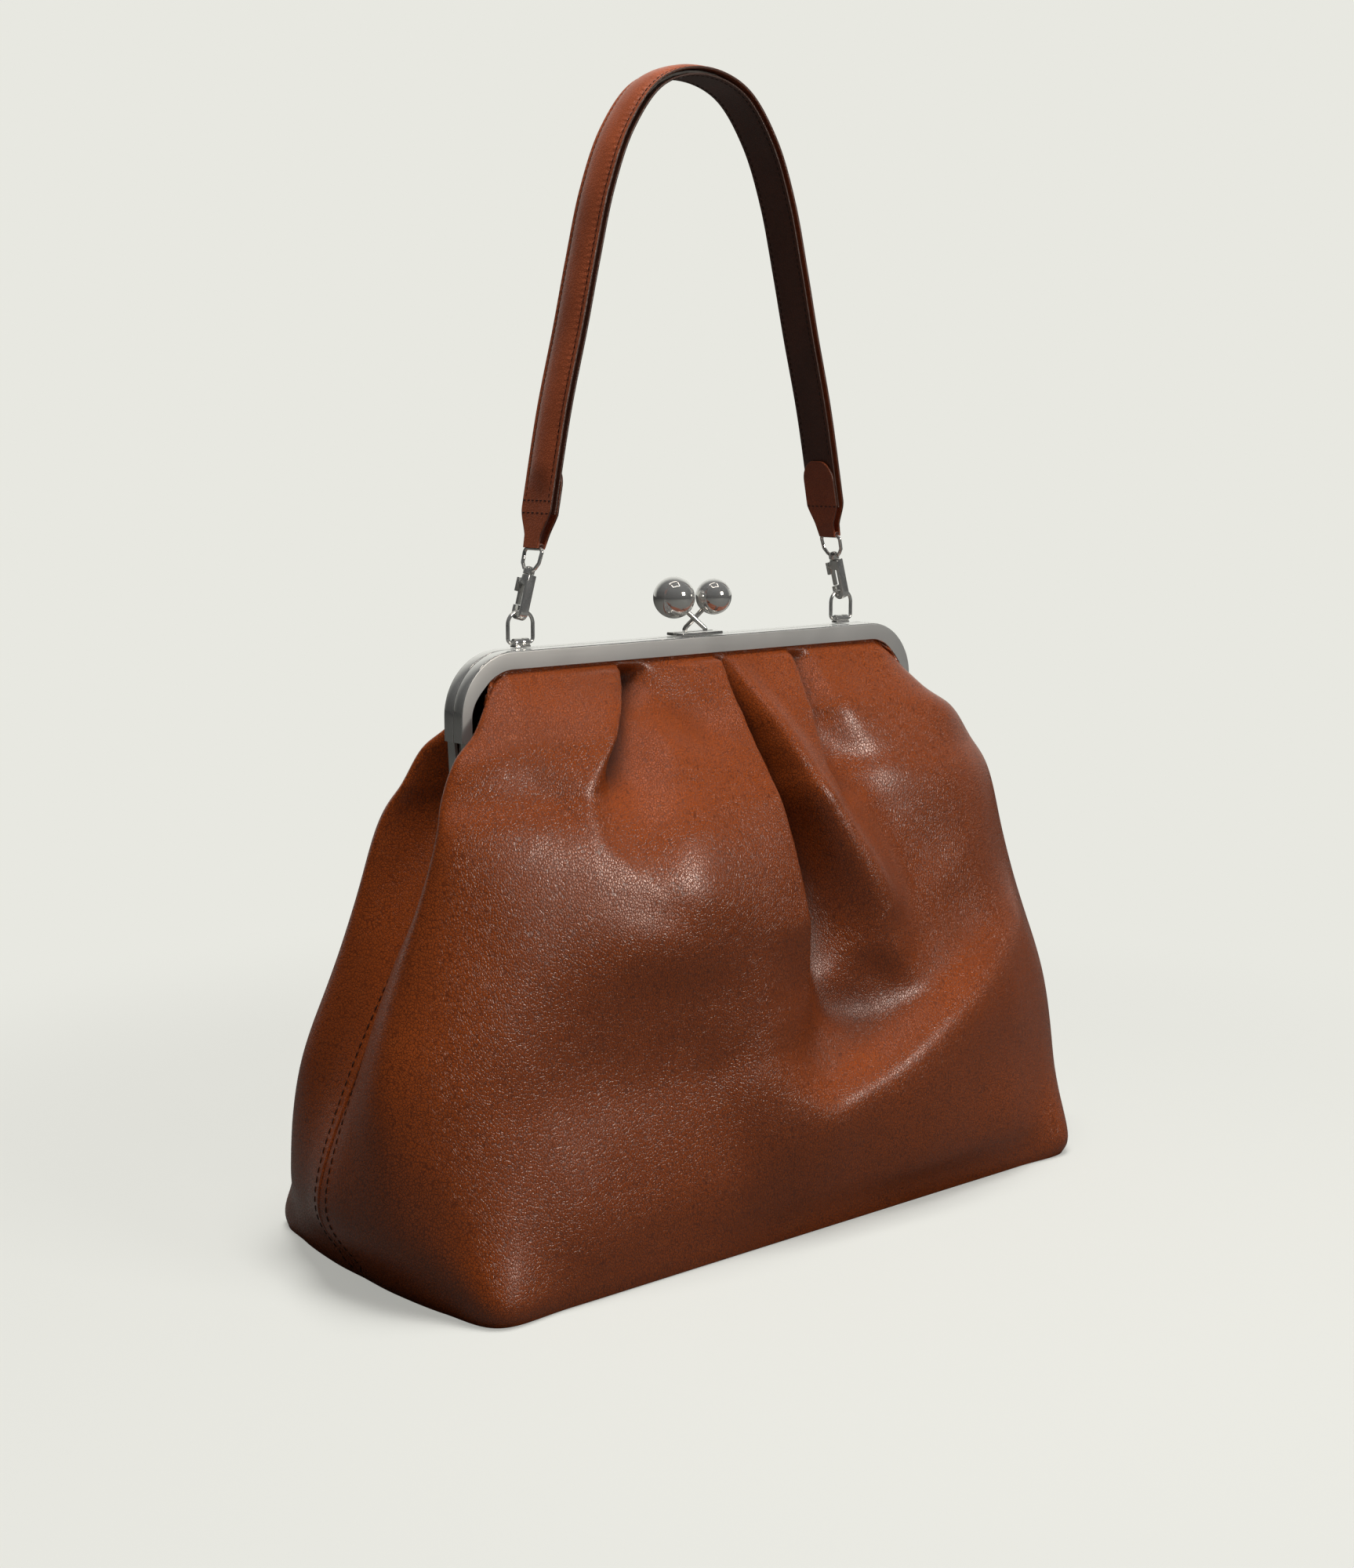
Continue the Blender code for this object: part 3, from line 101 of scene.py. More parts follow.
class Finish(Graph):
    # a material round one Principled shader
    def __init__(self, name, roughness, metallic=0.0, specular=0.5):
        self.material = bpy.data.materials.new(name)
        self.material.use_nodes = True
        super().__init__(self.material.node_tree)
        self.shader = self.tree.nodes["Principled BSDF"]
        self.put("Roughness", roughness)
        self.put("Metallic", metallic)
        self.put("Specular IOR Level", specular)

    def put(self, socket, value):
        self.plug(self.shader.inputs[socket], value)

    def place(self):
        return self.node("ShaderNodeTexCoord", output=3)

    def written(self, name):
        # a number that is written on the piece's points
        return self.node("ShaderNodeAttribute", {"attribute_name": name}, None, 2)

    def noise(self, vector, scale, detail=2.0, roughness=0.5, output=0):
        values = {"Vector": vector, "Scale": scale, "Detail": detail, "Roughness": roughness}
        return self.node("ShaderNodeTexNoise", None, values, output)

    def wave(self, vector, direction, scale, distortion, detail=2.0):
        values = {"Vector": vector, "Scale": scale, "Distortion": distortion, "Detail": detail}
        return self.node("ShaderNodeTexWave", {"bands_direction": direction}, values)

    def cells(self, vector, scale, smoothness=None):
        # rounded cells, or the distance to the cells' edges where no smoothness is given
        feature, values = "DISTANCE_TO_EDGE", {"Vector": vector, "Scale": scale}
        if smoothness is not None:
            feature, values["Smoothness"] = "SMOOTH_F1", smoothness
        return self.node("ShaderNodeTexVoronoi", {"feature": feature}, values)

    def shift(self, vector, scale, amount):
        # pushes the coordinates about, so that a cell pattern loses its regular look
        wobble = self.noise(vector, scale, 1.0, 0.5, 1)
        offset = self.vector("SUBTRACT", {0: wobble, 1: (0.5, 0.5, 0.5)})
        return self.vector("ADD", {0: vector, 1: self.vector("SCALE", {0: offset, 3: amount})})

    def stretch(self, vector, scale):
        return self.node("ShaderNodeMapping", {"vector_type": "POINT"}, {"Vector": vector, "Scale": scale})

    def mix(self, factor, first, second):
        values = {0: factor}
        for socket, value in ((6, first), (7, second)):
            values[socket] = value if isinstance(value, Wire) else (*value, 1)
        return self.node("ShaderNodeMix", {"data_type": "RGBA"}, values, 2)

    def relief(self, height, depth, strength):
        values = {"Height": height, "Distance": depth, "Strength": strength}
        self.put("Normal", self.node("ShaderNodeBump", None, values))


def shaded(colour, share):
    return tuple(c * share for c in colour)


grainedLeather = {
    "body": (0.290, 0.056, 0.0085),
    "crease": (0.085, 0.016, 0.0040),
    "rubbed": (0.37, 0.090, 0.020),
    "patches": (0.86, 1.08),
    "pebble": 800.0,
    "fineGrain": 1500.0,
    "pull": 95.0,
    "creaseDark": 0.80,
    # how strongly the painted shade darkens the leather's colour deep in its folds
    "paintedFoldShade": 0.88,
    "roughness": 0.25,
    "foldRoughness": 0.26,
    "depth": 0.13 * mm,
}


def makeGrainedLeather(name):
    look = grainedLeather
    finish = Finish(name, 0.42)
    place = finish.place()
    bent = finish.stretch(finish.shift(place, 210.0, 0.0022), (1.25, 1.0, 0.8))
    pebbles = finish.cells(bent, look["pebble"], 0.35)
    crown = finish.range(finish.cells(bent, look["pebble"]), 0.0, 0.17)
    fine = finish.noise(place, look["fineGrain"], 2.0, 0.6)
    pull = finish.noise(finish.stretch(place, (1.0, 1.0, 2.4)), look["pull"], 3.0, 0.55)
    height = crown * 0.60 + (1.0 - pebbles) * 0.45 + fine * 0.10 + pull * 0.30
    patch = finish.range(finish.noise(place, 9.0, 3.0, 0.55), 0.36, 0.66)
    tint = finish.mix(patch, *(shaded(look["body"], share) for share in look["patches"]))
    tint = finish.mix(finish.range(pull, 0.55, 0.8) * 0.35, tint, look["rubbed"])
    groove = 1.0 - crown
    colour = finish.mix(groove * look["creaseDark"], tint, look["crease"])
    # painted shade: deep in the folds the colour is darkened towards a near-black crease colour, where shade falls
    fold = finish.written("fold")
    finish.put("Base Color", finish.mix(fold * look["paintedFoldShade"], colour, shaded(look["crease"], 0.4)))
    finish.put("Roughness", look["roughness"] + groove * 0.06 + fine * 0.04 + fold * look["foldRoughness"])
    finish.relief(height, look["depth"], 0.75)
    return finish.material


strapLeather = {
    "grain": 820.0,
    "fineGrain": 900.0,
    "patches": (0.80, 1.12),
    "creaseDark": 0.45,
    "roughness": 0.31,
    "depth": 0.12 * mm,
}


def makeSmoothLeather(name, colour, edgeColour):
    # fine grain, and dark painted edges where the edge attribute says
    look = strapLeather
    finish = Finish(name, 0.40)
    place = finish.place()
    fine = finish.noise(place, look["fineGrain"], 3.0, 0.6)
    grain = finish.range(finish.cells(finish.shift(place, 300.0, 0.0015), look["grain"]), 0.0, 0.25)
    patch = finish.range(finish.noise(place, 26.0, 3.0, 0.5), 0.35, 0.68)
    base = finish.mix(patch, *(shaded(colour, share) for share in look["patches"]))
    base = finish.mix((1.0 - grain) * look["creaseDark"], base, shaded(colour, 0.45))
    edge = finish.written("edge")
    finish.put("Base Color", finish.mix(finish.range(edge, 0.35, 0.75), base, edgeColour))
    finish.put("Roughness", look["roughness"] + fine * 0.08 + edge * 0.08)
    finish.relief(grain * 0.6 + fine * 0.4, look["depth"], 0.7)
    return finish.material


polishedNickel = {"colour": (0.80, 0.795, 0.77), "metallic": 0.78, "roughness": 0.06, "depth": 0.004 * mm}
satinNickel = {"colour": (0.55, 0.55, 0.53), "metallic": 0.45, "roughness": 0.34, "depth": 0.010 * mm}


def makePolished(name):
    look = polishedNickel
    finish = Finish(name, look["roughness"], look["metallic"])
    place = finish.place()
    cloud = finish.noise(place, 160.0, 3.0, 0.6)
    dull = shaded(look["colour"], 0.94)
    finish.put("Base Color", finish.mix(finish.range(cloud, 0.4, 0.7), dull, look["colour"]))
    finish.put("Roughness", look["roughness"] + finish.range(cloud, 0.45, 0.8) * 0.05)
    finish.relief(finish.noise(place, 700.0), look["depth"], 0.5)
    return finish.material


def makeSatin(name):
    # its brush lines run along the frame
    look = satinNickel
    finish = Finish(name, 0.38, look["metallic"])
    place = finish.place()
    lines = finish.noise(finish.stretch(place, (14.0, 900.0, 900.0)), 2.2, 4.0, 0.65)
    cloud = finish.range(finish.noise(place, 40.0), 0.35, 0.7)
    finish.put("Base Color", finish.mix(cloud, shaded(look["colour"], 0.93), look["colour"]))
    finish.put("Roughness", look["roughness"] + lines * 0.14)
    finish.relief(lines, look["depth"], 0.6)
    return finish.material


tanCloth = {"colour": (0.25, 0.17, 0.105), "weave": 380.0, "depth": 0.12 * mm}
fibreBoard = {"colour": (0.20, 0.18, 0.155), "fibre": 260.0, "depth": 0.10 * mm}
brownThread = {"colour": (0.040, 0.014, 0.008), "twist": 900.0, "depth": 0.06 * mm}


def makeLining(name):
    look = tanCloth
    finish = Finish(name, 0.86, 0.0, 0.25)
    place = finish.place()
    weave = sum(finish.wave(place, way, look["weave"], 0.6, 1.0) * 0.5 for way in ("X", "Z"))
    slub = finish.noise(place, 60.0, 3.0, 0.6)
    shade = finish.mix(slub, shaded(look["colour"], 0.82), shaded(look["colour"], 1.12))
    finish.put("Base Color", finish.mix(weave * 0.35, shade, shaded(look["colour"], 0.6)))
    finish.relief(weave, look["depth"], 0.8)
    return finish.material


def makeBoard(name):
    look = fibreBoard
    finish = Finish(name, 0.88, 0.0, 0.25)
    fibre = finish.noise(finish.stretch(finish.place(), (1.0, 3.0, 1.0)), look["fibre"], 4.0, 0.7)
    shades = (shaded(look["colour"], share) for share in (0.75, 1.2))
    finish.put("Base Color", finish.mix(finish.range(fibre, 0.3, 0.7), *shades))
    finish.relief(fibre, look["depth"], 0.6)
    return finish.material


def makeThread(name):
    look = brownThread
    finish = Finish(name, 0.55, 0.0, 0.4)
    twist = finish.wave(finish.place(), "DIAGONAL", look["twist"], 0.4)
    finish.put("Base Color", finish.mix(twist * 0.6, look["colour"], shaded(look["colour"], 0.5)))
    finish.relief(twist, look["depth"], 0.8)
    return finish.material


looks = {
    "leather": makeGrainedLeather("chestnutGrain"),
    "strapFace": makeSmoothLeather("strapFace", (0.37, 0.086, 0.032), (0.060, 0.021, 0.011)),
    "strapInside": makeSmoothLeather("strapInside", (0.120, 0.040, 0.022), (0.050, 0.018, 0.010)),
    "polished": makePolished("polishedNickel"),
    "satin": makeSatin("satinNickel"),
    "lining": makeLining("tanLining"),
    "board": makeBoard("fibreBoard"),
    "thread": makeThread("brownThread"),
}
print("finishes made")


def smoothStep(value, low=0.0, high=1.0):
    share = np.clip((value - low) / (high - low), 0.0, 1.0)
    return share * share * (3 - 2 * share)


def curveTangent(before, here, after):
    # held back where a short stretch meets a long one, so that the curve can't double back
    full = (after - before) / 2
    size = np.linalg.norm(full)
    most = 2.5 * min(np.linalg.norm(here - before), np.linalg.norm(after - here))
    return full * (most / size) if 0 < most < size else full


def splinePoints(points, steps):
    # a smooth curve through the points; steps may differ from stretch to stretch
    points = np.asarray(points, float)
    last = len(points) - 1
    counts = steps if isinstance(steps, (tuple, list)) else [steps] * last
    out = []
    for k, count in enumerate(counts):
        a, b = points[k], points[k + 1]
        ta, tb = (curveTangent(points[max(0, j - 1)], points[j], points[min(last, j + 1)]) for j in (k, k + 1))
        for step in range(count):
            t = step / count
            bend = (2 * a - 2 * b + ta + tb) * t + 3 * b - 3 * a - 2 * ta - tb
            out.append(a + (ta + bend * t) * t)
    out.append(points[-1])
    return np.array(out)


def addObject(name, data):
    made = bpy.data.objects.new(name, data)
    bpy.context.scene.collection.objects.link(made)
    return made


def keptMesh(piece):
    # what the piece's modifiers make, as a plain mesh
    graph = bpy.context.evaluated_depsgraph_get()
    return bpy.data.meshes.new_from_object(piece.evaluated_get(graph))


def applied(piece, kind, settings):
    # one modifier, whose result becomes the piece's own mesh
    modifier = piece.modifiers.new("shape", kind)
    for key, value in settings.items():
        setattr(modifier, key, value)
    mesh = keptMesh(piece)
    piece.modifiers.clear()
    piece.data = mesh


def smoothed(piece, degrees):
    # smooth all over, but for edges that turn by more than the angle
    piece.data.shade_smooth()
    piece.data.set_sharp_from_angle(angle=math.radians(degrees))


def meshPiece(name, points, faces, look):
    mesh = bpy.data.meshes.new(name)
    mesh.from_pydata([tuple(p) for p in points], [], faces)
    mesh.validate()
    mesh.shade_smooth()
    mesh.materials.append(looks[look])
    return addObject(name, mesh)


def outwardFaces(piece):
    bm = bmesh.new()
    bm.from_mesh(piece.data)
    bmesh.ops.remove_doubles(bm, verts=bm.verts, dist=1e-7)
    bmesh.ops.recalc_face_normals(bm, faces=bm.faces)
    bm.to_mesh(piece.data)
    bm.free()


def tubeFaces(rings, start):
    # faces of a closed tube through equal rings of points
    count, rows = len(rings[0]), len(rings)
    faces = []
    for i in range(rows - 1):
        low, high = start + i * count, start + (i + 1) * count
        for k in range(count):
            m = (k + 1) % count
            faces.append((low + k, low + m, high + m, high + k))
    faces.append(tuple(start + k for k in reversed(range(count))))
    faces.append(tuple(start + (rows - 1) * count + k for k in range(count)))
    return faces


def skinPiece(name, tubes, look, sharp=40):
    # one piece made of closed tubes, each a list of rings
    points, faces = [], []
    for rings in tubes:
        faces += tubeFaces(rings, len(points))
        for ring in rings:
            points += [tuple(p) for p in ring]
    piece = meshPiece(name, points, faces, look)
    outwardFaces(piece)
    smoothed(piece, sharp)
    return piece


bag = {
    "halfBase": 200 * mm,
    "halfDepth": 88 * mm,
    "halfFrame": 144 * mm,
    "frameTop": 280 * mm,
    "frameCorner": 29 * mm,
    "band": 8.5 * mm,
    "hingeZ": 205 * mm,
    "splitZ": 199 * mm,
    "leather": 1.6 * mm,
    "inChannel": 5.85 * mm,
    "onArm": 9.05 * mm,
    "bandGap": 0.3 * mm,
}

# height share, then x share of the half width and y share of the half depth from side seam to middle;
# a depth of None is the frame's arm
lowerShares = (
    (0.00, ((0.985, 0), (0.985, 0.28), (0.965, 0.66), (0.918, 0.985), (0.73, 1.0), (0.40, 1.0), (0, 1.0))),
    (0.05, ((1.02, 0), (1.02, 0.28), (0.99, 0.66), (0.93, 1.0), (0.74, 1.015), (0.41, 1.015), (0, 1.015))),
    (0.20, ((1.10, 0), (1.095, 0.24), (1.05, 0.58), (0.935, 0.86), (0.75, 0.985), (0.42, 1.03), (0, 1.04))),
    (0.45, ((1.00, 0), (1.05, 0.20), (1.055, 0.48), (0.93, 0.75), (0.74, 0.90), (0.42, 0.98), (0, 1.0))),
    (0.72, ((0.84, 0), (0.935, 0.17), (0.97, 0.40), (0.86, 0.62), (0.69, 0.75), (0.39, 0.82), (0, 0.85))),
)
splitShares = ((0.93, 0), (1.07, 0.18), (1.23, 0.37), (1.10, 0.52), (0.86, 0.60), (0.50, 0.64), (0, 0.66))
upperShares = (
    (0.28, ((0.95, None), (1.03, 0.175), (1.17, 0.30), (1.04, 0.42), (0.825, 0.48), (0.465, 0.51), (0, 0.525))),
    (0.50, ((0.95, None), (1.0, 0.165), (1.10, 0.255), (1.0, 0.345), (0.80, 0.385), (0.45, 0.41), (0, 0.42))),
    (0.66, ((0.945, None), (0.95, 0.135), (0.99, 0.19), (0.93, 0.255), (0.78, 0.30), (0.44, 0.32), (0, 0.325))),
)
# angles round the frame's corner, shares of the corner's radius, and the depth under the frame's top in bands
cornerRows = (
    ((20, 38, 54, 76), (0.38, 0.38, 0.36, 0.33), 1.12),
    ((32, 46, 60, 77), (0.34, 0.34, 0.33, 0.14), 0.45),
)
backTuckShares = (0, 0.01, 0.03, 0.045, 0.06, 0.08, 0.09, 0.085, 0.07)
acrossSteps = (8, 12, 18, 28, 46, 52)
upSteps = (8, 20, 32, 36, 36, 22, 18, 14, 28, 6)


def shareRow(halfWidth, columns, z):
    row = []
    for x, y in columns:
        depth = bag["onArm"] if y is None else max(bag["halfDepth"] * y, bag["bandGap"])
        row.append((-halfWidth * x, -depth, z))
    return row


def cornerPoint(degrees, reach):
    # a point round the left corner of the frame, at a reach from the corner's middle
    turn = math.radians(degrees)
    x = bag["halfFrame"] - bag["frameCorner"] + reach * math.cos(turn)
    return -x, bag["frameTop"] - bag["frameCorner"] + reach * math.sin(turn)


def cornerRow(angles, shares, runDepth):
    row = []
    for angle, share, grip in zip(angles, shares, ("onArm", "onArm", "inChannel", "inChannel")):
        x, z = cornerPoint(angle, bag["frameCorner"] * (1 - share))
        row.append((x, -bag[grip], z))
    run = (bag["halfFrame"] - bag["frameCorner"], bag["halfFrame"] * 0.44, 0.0)
    return row + [(-x, -bag["inChannel"], bag["frameTop"] - runDepth) for x in run]


def bodyRows(back):
    rise = bag["frameTop"] - bag["band"] - bag["splitZ"]
    rows = [shareRow(bag["halfBase"], columns, bag["hingeZ"] * share) for share, columns in lowerShares]
    rows.append(shareRow(bag["halfFrame"], splitShares, bag["splitZ"]))
    rows += [shareRow(bag["halfFrame"], columns, bag["splitZ"] + rise * share) for share, columns in upperShares]
    rows += [cornerRow(angles, shares, bag["band"] * bands) for angles, shares, bands in cornerRows]
    rows = np.array(rows)
    if back:
        for row, share in zip(rows, backTuckShares):
            row[1:4, 0] *= 1 - share
    return rows


def bodyGrid(back):
    rows = bodyRows(back)
    steps = (*acrossSteps, *reversed(acrossSteps))
    wide = []
    for row in rows:
        mirrored = row[-2::-1] * np.array((-1, 1, 1))
        wide.append(splinePoints(np.concatenate([row, mirrored]), steps))
    wide = np.array(wide)
    columns = [splinePoints(wide[:, j], upSteps) for j in range(wide.shape[1])]
    return np.array(columns).transpose(1, 0, 2)


def gridNormals(grid):
    across = np.gradient(grid, axis=1)
    up = np.gradient(grid, axis=0)
    normal = np.cross(across, up)
    length = np.linalg.norm(normal, axis=2, keepdims=True)
    return normal / np.maximum(length, 1e-12)


def alongLine(x, z, line):
    # signed distance to a line of points, positive on its right going down, and the share of the way along it
    pieces = np.linalg.norm(np.diff(line, axis=0), axis=1)
    starts = np.concatenate([[0], np.cumsum(pieces)])
    best = np.full(x.shape, 9.0)
    sign = np.ones(x.shape)
    found = []
    for k, length in enumerate(pieces):
        ax, az = line[k]
        dx, dz = (line[k + 1] - line[k]) / length
        t = np.clip((x - ax) * dx + (z - az) * dz, 0, length)
        qx, qz = x - ax - dx * t, z - az - dz * t
        distance = np.hypot(qx, qz)
        sign = np.where(distance < best, np.where(qx * dz - qz * dx > 0, -1.0, 1.0), sign)
        best = np.minimum(best, distance)
        found.append((distance, (starts[k] + t) / starts[-1]))
    # the share is weighed over the nearest stretches, so it never jumps where the line bends
    weights = [np.exp(-(distance - best) / (5 * mm)) for distance, _ in found]
    share = sum(w * s for w, (_, s) in zip(weights, found)) / sum(weights)
    return best * sign / mm, share


def ramp(share, values):
    # values at equal steps along the way, eased into each other so that no kink shows; the ends keep theirs
    steps = np.linspace(0, 1, len(values))
    reach = np.minimum(0.7 * steps[1], np.minimum(share, 1 - share)) / 4
    return sum(np.interp(share + reach * k, steps, values) for k in range(-4, 5)) / 9


def bell(away, width):
    return np.exp(-((away / width) ** 2))


def foldSizes(x, z, fold):
    # how far each point is from the fold's line, and the fold's sizes there, in millimetres
    table = np.array(fold, float)
    away, share = alongLine(x, z, table[:, :2] * mm)
    return away, [ramp(share, values) for values in table[:, 2:].T]


def pleat(x, z, fold):
    # a lip on the left that drops into a valley on its right
    away, (lip, drop, lipWidth, fall, valley) = foldSizes(x, z, fold)
    down = lip - (lip + drop) * smoothStep(away, 0.0, fall)
    right = np.where(away < fall, down, -drop * bell(np.maximum(away - fall, 0), valley))
    return np.where(away < 0, lip * bell(away, lipWidth), right) * mm


def crease(x, z, fold):
    # a soft ridge, or a hollow where the height is negative
    away, (height, left, right) = foldSizes(x, z, fold)
    return height * bell(away, np.where(away < 0, left, right)) * mm


# every fold is a line of points x, z down or along the leather, in millimetres; after each point stand sizes,
# which spread evenly along the line: a pleat's lip, drop, lip width, fall and valley width
frontPleats = (
    # first pleat, its lip curving away to the left
    ((-54, 276, 5, 10, 12, 2, 9), (-55, 268, 8, 18, 16, 2, 12), (-64, 258, 10, 20, 20, 3, 16),
     (-76, 247, 10, 16, 24, 6, 20), (-88, 236, 8, 9, 28, 12, 24), (-102, 225, 4, 3, 34, 20, 28),
     (-118, 212, 0, 0, 40, 26, 34)),
    # the deep middle pleat
    ((7, 277, 5, 10, 14, 2, 4), (5, 266, 7, 18, 18, 3, 6), (3, 256, 8, 25, 22, 3, 8),
     (2, 244, 9, 29, 26, 4, 10), (0, 228, 9, 31, 30, 4, 13), (-1, 210, 9, 32, 34, 5, 17),
     (-1, 192, 8.5, 30, 38, 6, 22), (0, 174, 8, 26, 42, 7, 27), (1, 154, 7, 20, 46, 9, 31),
     (2, 136, 5.5, 12, 50, 13, 34), (2, 116, 3, 5, 54, 20, 34), (2, 92, 0, 0, 60, 28, 34)),
    # third pleat, short
    ((55, 276, 4, 7, 10, 2, 9), (54, 268, 6, 12, 12, 3, 12), (51, 259, 7, 15, 14, 4, 16),
     (46, 248, 6, 15, 16, 5, 21), (43, 232, 5, 12, 18, 7, 26), (41, 214, 3, 7, 20, 10, 30),
     (41, 198, 0, 0, 22, 14, 34)),
)
# a crease's sizes are its height and its widths on the left and right
frontCreases = (
    # crest that rolls out of the middle pleat
    ((10, 268, 5, 4, 8), (13, 256, 8, 6, 10), (16, 241, 11, 7, 12), (20, 222, 13, 8, 13),
     (26, 204, 13, 9, 14), (37, 184, 13, 11, 16), (48, 166, 13, 13, 18), (56, 148, 12, 15, 20),
     (57, 134, 8, 16, 20), (50, 120, 0, 18, 20)),
    # hollow under the second section's puffed top
    ((-50, 268, -4, 10, 9), (-47, 260, -8, 12, 11), (-38, 253, -9, 14, 13), (-24, 248, -9, 15, 14),
     (-8, 245, -7, 15, 13), (8, 243, 0, 14, 12)),
    # the second section's broad crown
    ((-30, 240, 0, 40, 40), (-44, 215, 11, 46, 44), (-60, 185, 17, 50, 48), (-72, 155, 14, 54, 50),
     (-74, 120, 5, 56, 50), (-74, 90, 0, 56, 50)),
    # ridge round the sagging bottom, steep above and long below
    ((-44, 100, 0, 22, 14), (-28, 80, 5, 28, 12), (-12, 66, 8, 38, 10), (6, 60, 10.5, 50, 9),
     (30, 69, 12, 58, 9), (58, 80, 12.5, 60, 9), (88, 93, 12, 58, 10), (124, 108, 10, 54, 12),
     (160, 122, 6, 46, 16), (186, 128, 0, 40, 20)),
    # the cupped hollow over it
    ((0, 150, 0, 24, 24), (4, 120, -6, 24, 22), (14, 100, -10, 22, 21), (34, 99, -12, 20, 20),
     (52, 108, -8, 20, 20), (64, 122, 0, 20, 20)),
    # and its run out to the right
    ((50, 118, 0, 22, 24), (95, 140, -6, 24, 26), (140, 152, 0, 26, 30)),
    # right section's slack valley
    ((60, 235, 0, 16, 18), (72, 205, -6, 20, 24), (88, 176, -7, 24, 30), (104, 150, 0, 28, 34)),
    # sag line low on the left
    ((-200, 64, 0, 30, 24), (-160, 84, -6, 44, 30), (-120, 98, -9, 58, 34), (-75, 104, -8, 58, 34),
     (-32, 100, 0, 46, 28)),
    # slack foot on the right
    ((30, 22, 0, 16, 26), (100, 26, 6, 16, 28), (170, 28, 0, 16, 26)),
)
# the back is plainer
backPleats = (
    ((-62, 276, 2, 4, 14, 3, 8), (-62, 262, 3.5, 7, 20, 5, 12), (-68, 244, 3.5, 7, 26, 8, 18),
     (-78, 226, 2, 4, 30, 12, 24), (-92, 206, 0, 0, 36, 20, 30)),
    ((-4, 276, 2, 4, 14, 3, 6), (-4, 262, 3.5, 8, 20, 5, 10), (-6, 240, 4, 10, 26, 7, 14),
     (-10, 210, 4, 10, 32, 10, 20), (-14, 176, 3, 7, 40, 14, 26), (-16, 140, 0, 0, 50, 24, 32)),
    ((52, 276, 2, 4, 12, 3, 8), (52, 262, 3, 7, 16, 5, 12), (48, 242, 3, 7, 20, 8, 16),
     (42, 220, 2, 4, 24, 12, 22), (36, 196, 0, 0, 30, 18, 28)),
)
backCreases = (
    ((-150, 74, 0, 26, 22), (-90, 88, 2, 28, 22), (-20, 92, 3, 30, 22), (50, 84, 2, 28, 22),
     (120, 60, 0, 26, 22)),
    ((-30, 160, 0, 26, 24), (-4, 134, -4, 26, 22), (40, 116, -4, 24, 22), (90, 110, 0, 24, 22)),
    ((-70, 210, 1, 46, 40), (-80, 170, 4, 52, 44), (-76, 130, 1, 52, 48)),
)

folds = {
    "evenCreases": 16,
    "evenAll": 2,
    "slack": (1.3 * mm, 9, 12),
    "ripple": (0.6 * mm, 34, 26),
    "pucker": (1.3 * mm, 120, 18),
    "puckerRest": 1.1 * mm,
    "puckerReach": 9 * mm,
    "frontSeed": 2.1,
    "backSeed": 7.3,
    "side": 0.25,
    "lift": 0.35,
    "footRise": (2 * mm, 24 * mm),
    "bandRise": (0.5 * mm, 6 * mm),
    "shadow": (1.0 * mm, 9.0 * mm),
    "spread": 160,
}


def evened(field, times):
    for _ in range(times):
        around = field[:-2, 1:-1] + field[2:, 1:-1] + field[1:-1, :-2] + field[1:-1, 2:]
        field[1:-1, 1:-1] = (4 * field[1:-1, 1:-1] + around) / 8
    return field


def unevenness(x, z, sizes, seed, start=0.0):
    # seeded noise over the leather: its height, and its scales across and up
    height, across, up = sizes
    places = zip(x.ravel(), z.ravel())
    values = [noise.noise(Vector((px * across + start, pz * up, seed))) for px, pz in places]
    return np.array(values).reshape(x.shape) * height


def reachBelowBand(grid):
    # how far each point lies below the frame's band along the leather
    rise = np.linalg.norm(np.diff(grid, axis=0), axis=2)
    under = sum(upSteps[:-1])
    reach = np.zeros(grid.shape[:2])
    reach[:under] = np.cumsum(rise[:under][::-1], axis=0)[::-1]
    return reach


def foldField(grid, reach, pleats, creases, seed):
    # the soft folds are evened out, the pleats keep their edges
    x, z = grid[:, :, 0], grid[:, :, 2]
    field = evened(sum(crease(x, z, fold) for fold in creases), folds["evenCreases"])
    field += sum(pleat(x, z, fold) for fold in pleats)
    field += unevenness(x, z, folds["slack"], seed, seed) + unevenness(x, z, folds["ripple"], seed)
    pucker = folds["puckerRest"] + unevenness(x, z, folds["pucker"], seed)
    field += pucker * np.exp(-reach / folds["puckerReach"]) * smoothStep(reach, 0, 5 * mm)
    field *= smoothStep(reach, *folds["bandRise"])
    field *= smoothStep(z, *folds["footRise"])
    return evened(field, folds["evenAll"])


def spreadLow(field, rows, columns):
    # the lowest value nearby, smoothed, so that a lining stays inside every fold
    low = field.copy()
    for _ in range(rows):
        low[1:-1] = np.minimum(low[1:-1], np.minimum(low[:-2], low[2:]))
    for _ in range(columns):
        low[:, 1:-1] = np.minimum(low[:, 1:-1], np.minimum(low[:, :-2], low[:, 2:]))
    for _ in range(6):
        low[1:-1, 1:-1] = (low[:-2, 1:-1] + low[2:, 1:-1] + low[1:-1, :-2] + low[1:-1, 2:]) / 4
    return low


def spreadWide(field):
    # the field blurred over about the width of a fold
    wide = field.copy()
    for _ in range(folds["spread"]):
        wide[1:-1] = (wide[:-2] + 2 * wide[1:-1] + wide[2:]) / 4
        wide[:, 1:-1] = (wide[:, :-2] + 2 * wide[:, 1:-1] + wide[:, 2:]) / 4
    return wide


